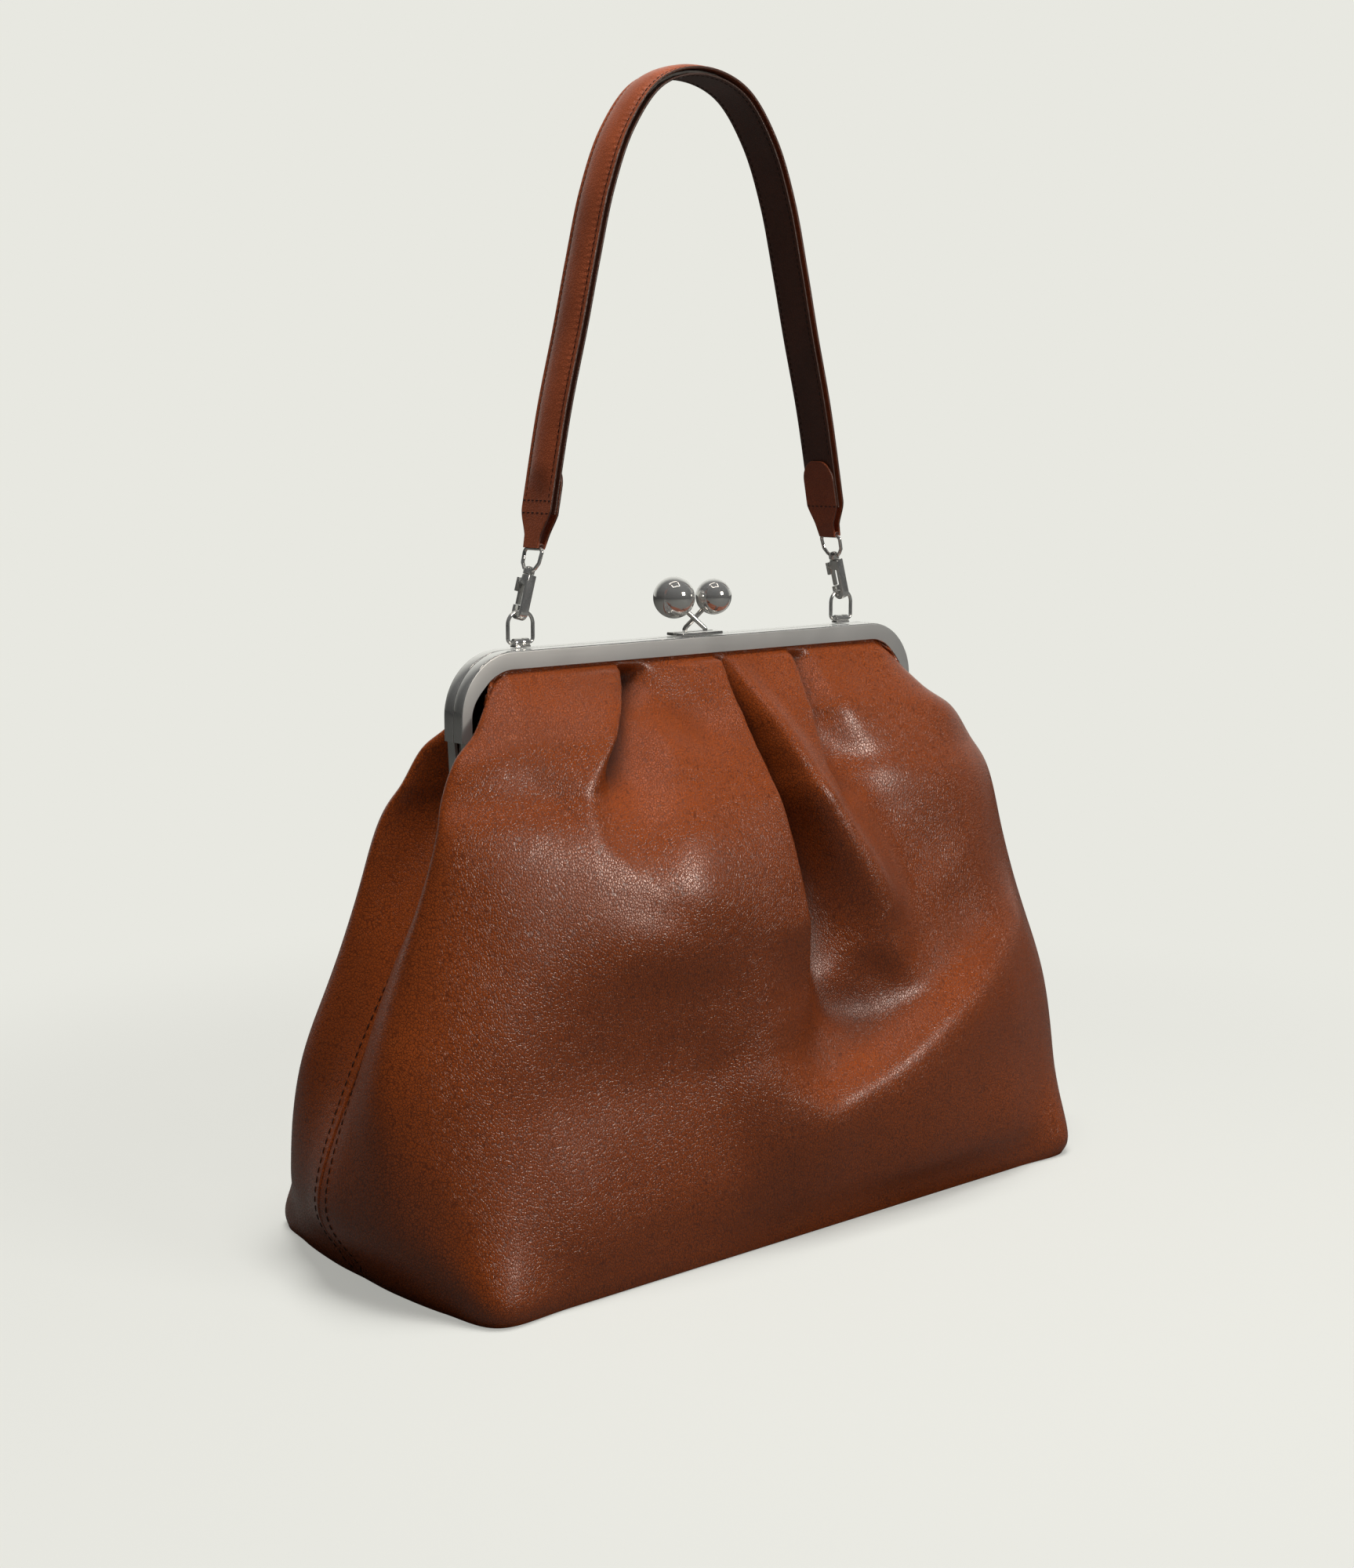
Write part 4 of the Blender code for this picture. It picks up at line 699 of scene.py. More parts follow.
lining = {
    "gap": 2.6 * mm,
    "gapAtBand": 1.0 * mm,
    "cloth": 0.8 * mm,
    "floor": 5.0 * mm,
    "stride": 3,
    "frameHalf": 152 * mm,
    "frameFoot": 200 * mm,
    "tuck": 38 * mm,
    "tuckRise": (222 * mm, 250 * mm),
    "bandEase": 9 * mm,
}


def foldedGrids(back):
    # the leather's outer face, the two faces of the lining behind it, and how deep each point is in a fold, for the
    # painted shade in the folds
    grid = bodyGrid(back)
    normals = gridNormals(grid)
    reach = reachBelowBand(grid)
    if back:
        field = foldField(grid, reach, backPleats, backCreases, folds["backSeed"])
    else:
        field = foldField(grid, reach, frontPleats, frontCreases, folds["frontSeed"])
    facing = smoothStep(-normals[:, :, 1], 0.15, 0.75)
    field = field * (folds["side"] + (1 - folds["side"]) * facing)
    push = normals * np.array((1.0, 1.0, folds["lift"]))
    low = np.minimum(spreadLow(field, 4, 5), field) * smoothStep(reach, 0, 6 * mm)
    inside = grid + push * low[:, :, None]
    gap = lining["gap"] + lining["gapAtBand"] * smoothStep(-reach, -lining["bandEase"], -1 * mm)
    faces = [grid + push * field[:, :, None]]
    faces += [inside - normals * (gap + wall)[:, :, None] for wall in (0.0, lining["cloth"])]
    for face in faces[1:]:
        x, z = face[:, :, 0], face[:, :, 2]
        most = lining["frameHalf"] - lining["tuck"] * smoothStep(z, *lining["tuckRise"])
        face[:, :, 0] = np.where(z > lining["frameFoot"], np.clip(x, -most, most), x)
    turn = np.array((-1, -1, 1) if back else (1, 1, 1))
    # painted shade: points that lie below their blurred surroundings get a share by which the leather's colour is
    # darkened
    shade = smoothStep(spreadWide(field) - field, *folds["shadow"])
    return [face * turn for face in faces] + [shade]


def gridQuads(index):
    low, right, high, left = index[:-1, :-1], index[:-1, 1:], index[1:, 1:], index[1:, :-1]
    return np.stack([low, right, high, left], axis=-1).reshape(-1, 4)


def rimOf(index):
    return [int(v) for v in (*index[0], *index[1:, -1], *index[-1, -2::-1], *index[-2:0:-1, 0])]


def sheetShell(name, outer, inner, look):
    # a closed sheet; its hidden inner face may have half as many steps each way
    face = np.arange(outer.shape[0] * outer.shape[1]).reshape(outer.shape[:2])
    rear = np.arange(inner.shape[0] * inner.shape[1]).reshape(inner.shape[:2]) + face.size
    points = np.concatenate([outer.reshape(-1, 3), inner.reshape(-1, 3)])
    faces = gridQuads(face).tolist() + gridQuads(rear)[:, ::-1].tolist()
    near, far = rimOf(face), rimOf(rear)
    ratio = len(near) // len(far)
    for k, a in enumerate(far):
        b = far[(k + 1) % len(far)]
        run = [near[(k * ratio + step) % len(near)] for step in range(ratio + 1)]
        faces.append((*reversed(run), a, b))
    return meshPiece(name, points, faces, look)


def writeShare(piece, name, values):
    # a number from 0 to 1 on each of the first points, for a finish to read
    full = np.zeros(len(piece.data.vertices), np.float32)
    full[: len(values)] = values
    piece.data.attributes.new(name, "FLOAT", "POINT").data.foreach_set("value", full)


def liningRows(near, far):
    # the lining from the bag's floor up, thinned out, its foot level on the board
    stride = lining["stride"]
    first = int(np.argmax(near[:, :, 2].mean(axis=1) > lining["floor"] + 3 * mm))
    rows = np.unique([*range(first, near.shape[0], stride), near.shape[0] - 1])
    columns = np.arange(0, near.shape[1], stride)
    columns[-1] = near.shape[1] - 1
    out = []
    for face, foot in ((near, lining["floor"]), (far, lining["floor"] + lining["cloth"])):
        thin = face[np.ix_(rows, columns)]
        base = thin[:1] * np.array((1, 1, 0)) + np.array((0, 0, foot))
        out.append(np.concatenate([base, thin]))
    return out


leatherGrids = {}
liningFoot = []
for half, body in (("front", "front_frame_half"), ("back", "back_frame_half")):
    outer, near, far, shade = foldedGrids(half == "back")
    leatherGrids[half] = outer
    liningFaces = liningRows(near, far)
    liningFoot += list(liningFaces[0][0][:-1])
    liningPiece = sheetShell(f"{half}_lining", *liningFaces, "lining")
    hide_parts(f"{half}_lining_flap", "lining_bag")
    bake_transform(liningPiece)
    inner = outer - gridNormals(outer) * bag["leather"]
    inner[0, :, 2] = outer[0, :, 2]
    leatherPiece = sheetShell(f"{half}_leather", outer, inner[::2, ::2], "leather")
    # the fold depth is written on the leather, where its finish paints shade into the folds
    writeShare(leatherPiece, "fold", shade.ravel())
    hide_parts(f"{half}_panel_lower", f"{half}_panel_upper")
    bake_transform(leatherPiece)

floorFaces = [[(x, y, lining["floor"] + wall) for x, y, _ in liningFoot] for wall in (0, lining["cloth"])]
floorPiece = skinPiece("lining_floor", [floorFaces], "lining")
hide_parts("lining_bag")
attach(floorPiece, "bag_body")
print("leather and lining folded")


def newTree(name, sockets):
    # a Geometry Nodes tree with named inputs, and those inputs
    graph = Graph(bpy.data.node_groups.new(name, "GeometryNodeTree"))
    for label, kind in (("Geometry", "Geometry"), *sockets, ("Finish", "Material")):
        graph.tree.interface.new_socket(label, in_out="INPUT", socket_type="NodeSocket" + kind)
    graph.tree.interface.new_socket("Geometry", in_out="OUTPUT", socket_type="NodeSocketGeometry")
    source = graph.tree.nodes.new("NodeGroupInput")
    return graph, {socket.name: Wire(graph, socket) for socket in source.outputs}


def closedTree(graph, shape, finish):
    whole = graph.node("GeometryNodeRealizeInstances", None, {"Geometry": shape})
    painted = graph.node("GeometryNodeSetMaterial", None, {"Geometry": whole, "Material": finish})
    graph.node("NodeGroupOutput", None, {"Geometry": painted})
    return graph.tree


def makeWireTree():
    # round wire along a path
    graph, source = newTree("roundWire", (("Wire Radius", "Float"), ("Sides", "Int")))
    curve = graph.node("GeometryNodeMeshToCurve", None, {"Mesh": source["Geometry"]})
    circle = {"Radius": source["Wire Radius"], "Resolution": source["Sides"]}
    profile = graph.node("GeometryNodeCurvePrimitiveCircle", None, circle)
    sweep = {"Curve": curve, "Profile Curve": profile, "Fill Caps": True}
    return closedTree(graph, graph.node("GeometryNodeCurveToMesh", None, sweep), source["Finish"])


def makeStitchTree():
    # a capsule of thread at every pitch along a path
    sizes = ("Pitch", "Stitch Length", "Thread Radius")
    graph, source = newTree("stitchRow", [(label, "Float") for label in sizes])
    curve = graph.node("GeometryNodeMeshToCurve", None, {"Mesh": source["Geometry"]})
    steps = {"Curve": curve, "Length": source["Pitch"]}
    steps = graph.node("GeometryNodeResampleCurve", {"mode": "LENGTH"}, steps)
    thread = graph.node("GeometryNodeMeshUVSphere", None, {"Segments": 6, "Rings": 5, "Radius": 1.0})
    radius = source["Thread Radius"]
    size = {"X": radius, "Y": radius, "Z": source["Stitch Length"] * 0.5}
    size = graph.node("ShaderNodeCombineXYZ", None, size)
    tangent = graph.node("GeometryNodeInputTangent")
    turn = graph.node("FunctionNodeAlignRotationToVector", {"axis": "Z"}, {"Vector": tangent})
    place = {"Points": steps, "Instance": thread, "Rotation": turn, "Scale": size}
    return closedTree(graph, graph.node("GeometryNodeInstanceOnPoints", None, place), source["Finish"])


def growPiece(name, tree, lines, values, look, loop=False):
    # runs a tree on lines of points, and keeps the result as a plain mesh
    vertices, edges = [], []
    for line in lines:
        start = len(vertices)
        vertices += [tuple(p) for p in line]
        edges += [(start + k, start + k + 1) for k in range(len(line) - 1)]
        if loop:
            edges.append((len(vertices) - 1, start))
    mesh = bpy.data.meshes.new(name + "Path")
    mesh.from_pydata(vertices, edges, [])
    guide = addObject(name + "Path", mesh)
    modifier = guide.modifiers.new("grow", "NODES")
    modifier.node_group = tree
    sockets = {item.name: item.identifier for item in tree.interface.items_tree if item.in_out == "INPUT"}
    for label, value in {**values, "Finish": looks[look]}.items():
        modifier[sockets[label]] = value
    grown = keptMesh(guide)
    bpy.data.objects.remove(guide)
    grown.name = name
    grown.shade_smooth()
    return addObject(name, grown)


wireTree = makeWireTree()
stitchTree = makeStitchTree()


def wirePiece(name, path, radius, sides, loop=False):
    wire = growPiece(name, wireTree, [path], {"Wire Radius": radius, "Sides": sides}, "polished", loop)
    outwardFaces(wire)
    return wire


def stitchPiece(name, rows, sizes):
    values = {"Pitch": sizes["pitch"], "Stitch Length": sizes["stitch"], "Thread Radius": sizes["thread"]}
    return growPiece(name, stitchTree, rows, values, "thread")


def turnedRings(base, axis, profile, sides):
    # rings of a lathe profile given as (distance along the axis, radius)
    axis = Vector(axis).normalized()
    side = axis.orthogonal().normalized()
    other = axis.cross(side)
    turns = [2 * math.pi * k / sides for k in range(sides)]
    rings = []
    for along, radius in profile:
        center = Vector(base) + axis * along
        rings.append([center + side * (radius * math.cos(t)) + other * (radius * math.sin(t)) for t in turns])
    return rings


def bevelled(piece, width, segments, angle):
    # rounds the edges that turn by more than the angle
    settings = {"width": width, "segments": segments, "limit_method": "ANGLE", "angle_limit": math.radians(angle)}
    applied(piece, "BEVEL", settings)
    smoothed(piece, 50)


strap = {
    "width": 22 * mm,
    "rise": 269 * mm,
    "outer": 1.2 * mm,
    "inner": 1.0 * mm,
    "core": 1.4 * mm,
    "edge": 0.34 * mm,
    "crown": 1.7 * mm,
    "gap": 0.3 * mm,
    "neckWidth": 11 * mm,
    "neckLength": 2.75 * mm,
    "taper": 16 * mm,
    "return": 40 * mm,
    "tipShare": 0.08,
    "innerStart": 15 * mm,
    "innerNarrow": 0.6 * mm,
    "padStart": 17 * mm,
    "padFull": 34 * mm,
    "side": 3.65 * mm,
    "route": (
        (0.885, 0.24), (0.80, 0.40), (0.705, 0.54), (0.632, 0.655),
        (0.548, 0.775), (0.43, 0.88), (0.25, 0.96), (0.0, 0.986),
    ),
    "samples": 44,
    "pucker": 0.20 * mm,
    "stitchInset": 2.3 * mm,
    "pitch": 3.0 * mm,
    "stitch": 2.2 * mm,
    "thread": 0.33 * mm,
    "stitchStart": 24 * mm,
    "crossRows": (15.5 * mm, 21.5 * mm),
    "crossInset": 1.6 * mm,
}
hookSizes = {
    "ringHalf": 103 * mm,
    "ringTop": 296.6 * mm,
    "lean": math.radians(16),
    "width": 7.4 * mm,
    "thickness": 4.4 * mm,
    "wall": 1.9 * mm,
    "bend": -0.08 * mm,
    "nose": 3.0 * mm,
    "throat": 12.0 * mm,
    "top": 17.4 * mm,
    "pin": (1.8 * mm, 14.2 * mm),
    "pinRadius": 0.6 * mm,
    "lobe": 1.5 * mm,
    "gate": 2.0 * mm,
    "stud": 1.3 * mm,
    "collar": 2.7 * mm,
    "collarSpan": (17.7 * mm, 20.1 * mm),
    "eyeBar": 29.9 * mm,
    "eyeWidth": 15 * mm,
    "eyeCorner": 2 * mm,
    "wire": 0.9 * mm,
    "slotRoom": 0.15 * mm,
    "bodyRound": 0.32 * mm,
    "gateRound": 0.3 * mm,
}


def hookPlace(end):
    # x across the hook's plate, y towards its gate, z along the hook
    shift = Matrix.Translation((end * hookSizes["ringHalf"], strap["side"], hookSizes["ringTop"]))
    return shift @ Matrix.Rotation(-end * hookSizes["lean"], 4, "Y")


def strapLine():
    eye = hookPlace(-1) @ Vector((0, 0, hookSizes["eyeBar"]))
    left = [(eye.x, 0, eye.z)]
    left += [(-hookSizes["ringHalf"] * x, 0, bag["frameTop"] + strap["rise"] * z) for x, z in strap["route"]]
    points = np.array(left + [(-x, y, z) for x, y, z in reversed(left[:-1])])
    return splinePoints(points, strap["samples"])


def wayAlong(points):
    # how far along the line each of its points is
    return np.concatenate([[0], np.cumsum(np.linalg.norm(np.diff(points, axis=0), axis=1))])


strapMiddle = strapLine()
strapTangents = np.gradient(strapMiddle, axis=0)
strapTangents /= np.linalg.norm(strapTangents, axis=1, keepdims=True)
strapNormals = np.stack([-strapTangents[:, 2], strapTangents[:, 1] * 0, strapTangents[:, 0]], axis=1)
strapLengths = wayAlong(strapMiddle)
outerOffset = strap["core"] / 2 + strap["gap"] + strap["outer"] / 2
innerOffset = -(strap["core"] / 2 + strap["gap"] + strap["inner"] / 2)
tabOffset = -(strap["core"] / 2 + 2 * strap["gap"] + strap["inner"] + strap["outer"] / 2)
innerWidth = strap["width"] - strap["innerNarrow"]


def outerWidth(fromEnd):
    share = float(smoothStep(fromEnd, strap["neckLength"], strap["neckLength"] + strap["taper"]))
    return strap["neckWidth"] + (strap["width"] - strap["neckWidth"]) * share


def returnWidth(fromEnd):
    # the end that comes back under the strap, its tip rounded
    left = strap["return"] - fromEnd
    if left < innerWidth / 2:
        share = max(0.0, left / (innerWidth / 2))
        return innerWidth * max(strap["tipShare"], math.sqrt(share * (2 - share)))
    return min(outerWidth(fromEnd), innerWidth)


def bandPuff(share, seamShare, crown, pucker):
    # how far the outer face stands up: its padding, the line that the stitches pull in, the gathers beside it
    padding = max(0.0, 1 - (share / 0.78) ** 2.8) - 0.16 * bell(share - seamShare, 0.035)
    return crown * padding + pucker * (bell(share - 0.72, 0.075) + 0.6 * bell(share - 0.90, 0.06))


def bandRings(stations, thickness):
    # station: point, outward direction, width, crown, pucker; the section is a band whose outer face is crowned
    rings = []
    edge, cut = strap["edge"], strap["edge"] * 0.3
    seamShare = 1 - strap["stitchInset"] / (strap["width"] / 2)
    shares = (0.97, 0.91, 0.85, seamShare, 0.74, 0.66, 0.52, 0.28)
    shares = (*shares, 0.0, *(-s for s in reversed(shares)))
    deep = thickness / 2
    for point, normal, width, crown, pucker in stations:
        half = width / 2
        section = [(-half, -deep + edge), (-half + cut, -deep + cut), (-half + edge, -deep)]
        section += [(half * s, -deep) for s in (-0.5, 0.0, 0.5)]
        section += [(half - edge, -deep), (half - cut, -deep + cut), (half, -deep + edge)]
        section += [(half, deep - edge), (half - cut, deep - cut)]
        for s in shares:
            section.append(((half - edge) * s / shares[0], deep + bandPuff(abs(s), seamShare, crown, pucker)))
        section += [(-half + cut, deep - cut), (-half, deep - edge)]
        middle = Vector((point[0], strap["side"], point[2]))
        rings.append([middle + Vector((0, y, 0)) + Vector(normal) * n for y, n in section])
    return rings


def strapStations(start, width, offset, crown=0.0, pucker=0.0, stride=1):
    out = []
    along = strapMiddle + strapNormals * offset
    rows = list(zip(along, strapNormals, strapLengths, wayAlong(along)))
    for point, normal, length, run in rows[::stride]:
        fromEnd = min(length, strapLengths[-1] - length)
        if fromEnd >= start:
            puff = float(smoothStep(fromEnd, start + strap["padStart"], start + strap["padFull"]))
            wave = pucker * puff * math.cos(2 * math.pi * run / strap["pitch"])
            out.append((point, normal, width(fromEnd), crown * puff, wave))
    return out


def mirrorStations(stations):
    return [((-p[0], p[1], p[2]), (-n[0], 0, n[2]), *rest) for p, n, *rest in reversed(stations)]


def loopStations(steps=12):
    # the outer band's turn round the left eye's bar
    bar, normal = Vector(strapMiddle[0]), Vector(strapNormals[0])
    down = Vector((normal.z, 0, -normal.x))
    radius = hookSizes["wire"] + strap["gap"] + strap["outer"] / 2
    turn = []
    for k in range(steps + 1):
        angle = math.pi * k / steps
        direction = -normal * math.cos(angle) + down * math.sin(angle)
        turn.append((tuple(bar + direction * radius), tuple(direction), strap["neckWidth"], 0.0, 0.0))
    return turn


def buildStrap():
    tab = []
    for point, normal, length in zip(strapMiddle, strapNormals, strapLengths):
        if strap["innerStart"] - strap["taper"] / 2 < length <= strap["return"]:
            tab.append((point + normal * tabOffset, -normal, returnWidth(length), 0.0, 0.0))
    left = tab[::-1] + loopStations()
    middle = strapStations(strap["neckWidth"] / 2, outerWidth, outerOffset, strap["crown"], strap["pucker"])
    outerRings = bandRings(left + middle + mirrorStations(left), strap["outer"])
    inside = strapStations(strap["innerStart"], lambda fromEnd: innerWidth, innerOffset, stride=3)
    outerBand = skinPiece("strap_outer_band", [outerRings], "strapFace")
    innerBand = skinPiece("strap_inner_band", [bandRings(inside, strap["inner"])], "strapInside")
    for piece, node in ((outerBand, "strap_outer"), (innerBand, "strap_inner")):
        normals = np.array([v.normal.y for v in piece.data.vertices])
        writeShare(piece, "edge", smoothStep(np.abs(normals), 0.6, 0.85))
        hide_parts(node)
        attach(piece, "handle")


def strapRow(start, side, offset):
    # a line of stitch places along the strap, from start off one end to start off the other
    out = []
    for point, normal, length in zip(strapMiddle, strapNormals, strapLengths):
        if start <= length <= strapLengths[-1] - start:
            place = Vector(point) + Vector(normal) * offset
            out.append(Vector((place.x, strap["side"] + side, place.z)))
    return out


def crossRow(length, reach, offset, turn, steps=14):
    # a line of stitch places across the strap at a distance from one end
    k = int(np.searchsorted(strapLengths, length))
    place = Vector(strapMiddle[k]) + Vector(strapNormals[k]) * offset
    sides = [strap["side"] + reach * (2 * s / steps - 1) for s in range(steps + 1)]
    return [Vector((turn * place.x, y, place.z)) for y in sides]


def buildStrapStitches():
    side = strap["width"] / 2 - strap["stitchInset"]
    outerFace = outerOffset + strap["outer"] / 2
    innerFace = innerOffset - strap["inner"] / 2
    tabFace = tabOffset - strap["outer"] / 2
    rows = [strapRow(strap["stitchStart"], s * side, outerFace - 0.10 * mm) for s in (-1, 1)]
    rows += [strapRow(strap["return"] + 3 * mm, s * side, innerFace + 0.02 * mm) for s in (-1, 1)]
    for turn in (1, -1):
        for length in strap["crossRows"]:
            reach = outerWidth(length) / 2 - strap["crossInset"]
            rows.append(crossRow(length, reach, outerFace - 0.02 * mm, turn))
        rows.append(crossRow(strap["crossRows"][0], reach, tabFace + 0.02 * mm, turn))
    stitches = stitchPiece("strap_stitches", rows, strap)
    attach(stitches, "handle")


seam = {
    "inset": 4.2 * mm,
    "low": 5 * mm,
    "high": 166 * mm,
    "proud": 0.12 * mm,
    "pitch": 4.4 * mm,
    "stitch": 3.1 * mm,
    "thread": 0.42 * mm,
    "search": 40,
}


def buildSeams():
    # a row of stitches on both sides of each side seam, on the part of the leather that stands with the bag
    rows = []
    for grid in leatherGrids.values():
        normals = gridNormals(grid)
        last = grid.shape[1] - 1
        for columns in (range(seam["search"]), range(last, last - seam["search"], -1)):
            row = []
            for level, outward in zip(grid, normals):
                k = columns[int(np.searchsorted(wayAlong(level[list(columns)]), seam["inset"]))]
                if seam["low"] <= level[k, 2] <= seam["high"]:
                    row.append(Vector(level[k] + outward[k] * seam["proud"]))
            rows.append(row)
    stitches = stitchPiece("seam_stitches", rows, seam)
    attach(stitches, "bag_body")


buildStrap()
buildStrapStitches()
buildSeams()
print("strap shaped")


metal = {
    "near": 0.15 * mm,
    "far": 7.15 * mm,
    "edge": 0.8 * mm,
    "wall": 1.0 * mm,
    "tip": 0.25 * mm,
    "floor": 2.5 * mm,
    "armBand": 6.0 * mm,
    "armEnd": 240 * mm,
    "ear": 1.4 * mm,
    "earRadius": 4.0 * mm,
    "earInset": {"front": 3.1 * mm, "back": 1.4 * mm},
    "rivet": 1.5 * mm,
    "rivetHead": 2.6 * mm,
    "rivetCap": 0.8 * mm,
    "rivetProud": 0.3 * mm,
    "plate": (26 * mm, 5 * mm, 1.6 * mm),
    "plateLift": 0.3 * mm,
    "plateRound": 0.45 * mm,
    "balls": {"front": (10.2 * mm, -10.41 * mm, 3.5 * mm), "back": (8.8 * mm, 8.98 * mm, -3.5 * mm)},
    "ballTop": 298.7 * mm,
    "stem": 1.2 * mm,
    "stemFoot": 3.4 * mm,
    "ringAxis": 282.4 * mm,
    "ringSize": 16 * mm,
    "ringFoot": 2.2 * mm,
    "ringCrown": 5.5 * mm,
    "lug": (2.1 * mm, 8.5 * mm),
    "lugFoot": (4.6 * mm, 1.0 * mm),
    "lugRound": 0.2 * mm,
}


def metalSkin(name, *tubes):
    return skinPiece(name, tubes, "polished")


def setMetal(piece, node, body):
    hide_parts(node)
    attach(piece, body)


def frameStations(steps=28):
    # point on the outer outline, inward direction, and how far round the corner it is
    out = []
    for share in (0.0, 0.12, 0.6):
        z = metal["armEnd"] + (bag["frameTop"] - bag["frameCorner"] - metal["armEnd"]) * share
        out.append(((-bag["halfFrame"], 0, z), (1, 0, 0), 0.0))
    for k in range(steps + 1):
        degrees = 90 * k / steps
        x, z = cornerPoint(degrees, bag["frameCorner"])
        turn = math.radians(degrees)
        out.append(((x, 0, z), (math.cos(turn), 0, -math.sin(turn)), degrees / 90))
    return out + mirrorStations(out)


def frameSection(side, up):
    # the band in section: rounded outer edges, and the channel that grips the leather
    share = float(smoothStep(min(1.0, up * 2)))
    width = metal["armBand"] + (bag["band"] - metal["armBand"]) * share
    floor = metal["floor"] + (width - metal["floor"]) * float(1 - smoothStep(up, 0.36, 0.44))
    floor = min(floor, width - 0.05 * mm)
    near, far, edge, wall, tip = (metal[size] for size in ("near", "far", "edge", "wall", "tip"))
    turns = [math.pi / 2 * k / 4 for k in range(5)]
    points = [(width, near + tip), (width - tip, near)]
    points += [(edge - edge * math.sin(t), near + edge - edge * math.cos(t)) for t in turns]
    points += [(edge - edge * math.cos(t), far - edge + edge * math.sin(t)) for t in turns]
    points += [(width - tip, far), (width, far - tip), (width, far - wall)]
    points += [(floor, far - wall), (floor, near + wall), (width, near + wall)]
    return [(depth, side * y) for depth, y in points]


def earRings(side, inset, end, steps=24):
    low, high = side * (metal["near"] + metal["edge"]), side * (metal["far"] - metal["edge"])
    top = metal["armEnd"] + 4 * mm
    outline = [(low, top), (high, top), (high, metal["armEnd"])]
    for k in range(steps + 1):
        turn = math.pi * k / steps
        z = bag["hingeZ"] - metal["earRadius"] * math.sin(turn)
        outline.append((side * metal["earRadius"] * math.cos(turn), z))
    outline.append((low, metal["armEnd"]))
    return [[(end * (bag["halfFrame"] - inset - depth), y, z) for y, z in outline] for depth in (0, metal["ear"])]


def buildFrame(half, side):
    rings = []
    for point, inward, up in frameStations():
        section = frameSection(side, up)
        rings.append([Vector(point) + Vector(inward) * depth + Vector((0, y, 0)) for depth, y in section])
    ears = [earRings(side, metal["earInset"][half], end) for end in (-1, 1)]
    piece = skinPiece(f"{half}_frame_bar", [rings, *ears], "satin", 28)
    piece.data.materials.append(looks["polished"])
    for face in piece.data.polygons:
        face.material_index = 0 if abs(face.normal.y) > 0.98 else 1
    setMetal(piece, f"{half}_frame", f"{half}_frame_half")


def buildRivet(name, end):
    start = metal["earInset"]["back"] - metal["rivetProud"]
    length = metal["earInset"]["front"] + metal["ear"] + metal["rivetProud"] - start
    cap, head, shank = metal["rivetCap"], metal["rivetHead"], metal["rivet"]
    dome = [(cap * (1 - math.cos(t)), head * math.sin(t)) for t in (0.25, 0.5, 0.8, 1.1, 1.35, math.pi / 2)]
    profile = dome + [(cap, shank), (cap + length, shank)] + [(2 * cap + length - a, r) for a, r in reversed(dome)]
    base = (end * (bag["halfFrame"] - start + cap), 0, bag["hingeZ"])
    piece = metalSkin(f"{name}_rivet", turnedRings(base, (-end, 0, 0), profile, 32))
    setMetal(piece, f"{name}_hinge_rivet", "bag_body")


def boxRings(halfX, halfY, high, seat):
    # a plain block that stands on its seat
    corners = ((-halfX, -halfY), (halfX, -halfY), (halfX, halfY), (-halfX, halfY))
    return [[(seat[0] + x, seat[1] + y, seat[2] + z) for x, y in corners] for z in (0, high)]


def buildClasp(half, side):
    radius, ballX, ballY = metal["balls"][half]
    stem, lift = metal["stem"], bag["frameTop"] + metal["plateLift"]
    seat = (0, side * strap["side"], lift)
    length, width, thick = metal["plate"]
    plate = metalSkin(f"{half}_clasp_foot", boxRings(length / 2, width / 2, thick, seat))
    bevelled(plate, metal["plateRound"], 3, 35)
    ball = Vector((ballX, ballY, metal["ballTop"]))
    foot = Vector((-side * metal["stemFoot"], seat[1], lift + thick + metal["plateLift"]))
    way = (ball - foot).normalized()
    turns = [math.pi * k / 40 for k in range(1, 40)]
    profile = [(radius - radius * math.cos(t), radius * math.sin(t)) for t in turns]
    knob = metalSkin(f"{half}_clasp_knob", turnedRings(ball - way * radius, way, profile, 56))
    tip = ball - way * (radius - 0.1 * mm)
    knee = foot + Vector((0, 0, stem))
    bend = [foot + (knee - foot) * t for t in (0.0, 0.4, 0.7)]
    bend += [knee + (tip - knee) * t for t in (0.06, 0.15, 0.35, 0.7, 1.0)]
    wire = wirePiece(f"{half}_clasp_neck", bend, stem, 20)
    for piece, node in ((plate, "plate"), (knob, "ball"), (wire, "stem")):
        setMetal(piece, f"{half}_clasp_{node}", f"{half}_frame_half")


def arcPoints(y, z, radius, start, end, steps):
    turns = [math.radians(start + (end - start) * k / steps) for k in range(steps + 1)]
    return [(y + radius * math.cos(t), z + radius * math.sin(t)) for t in turns]


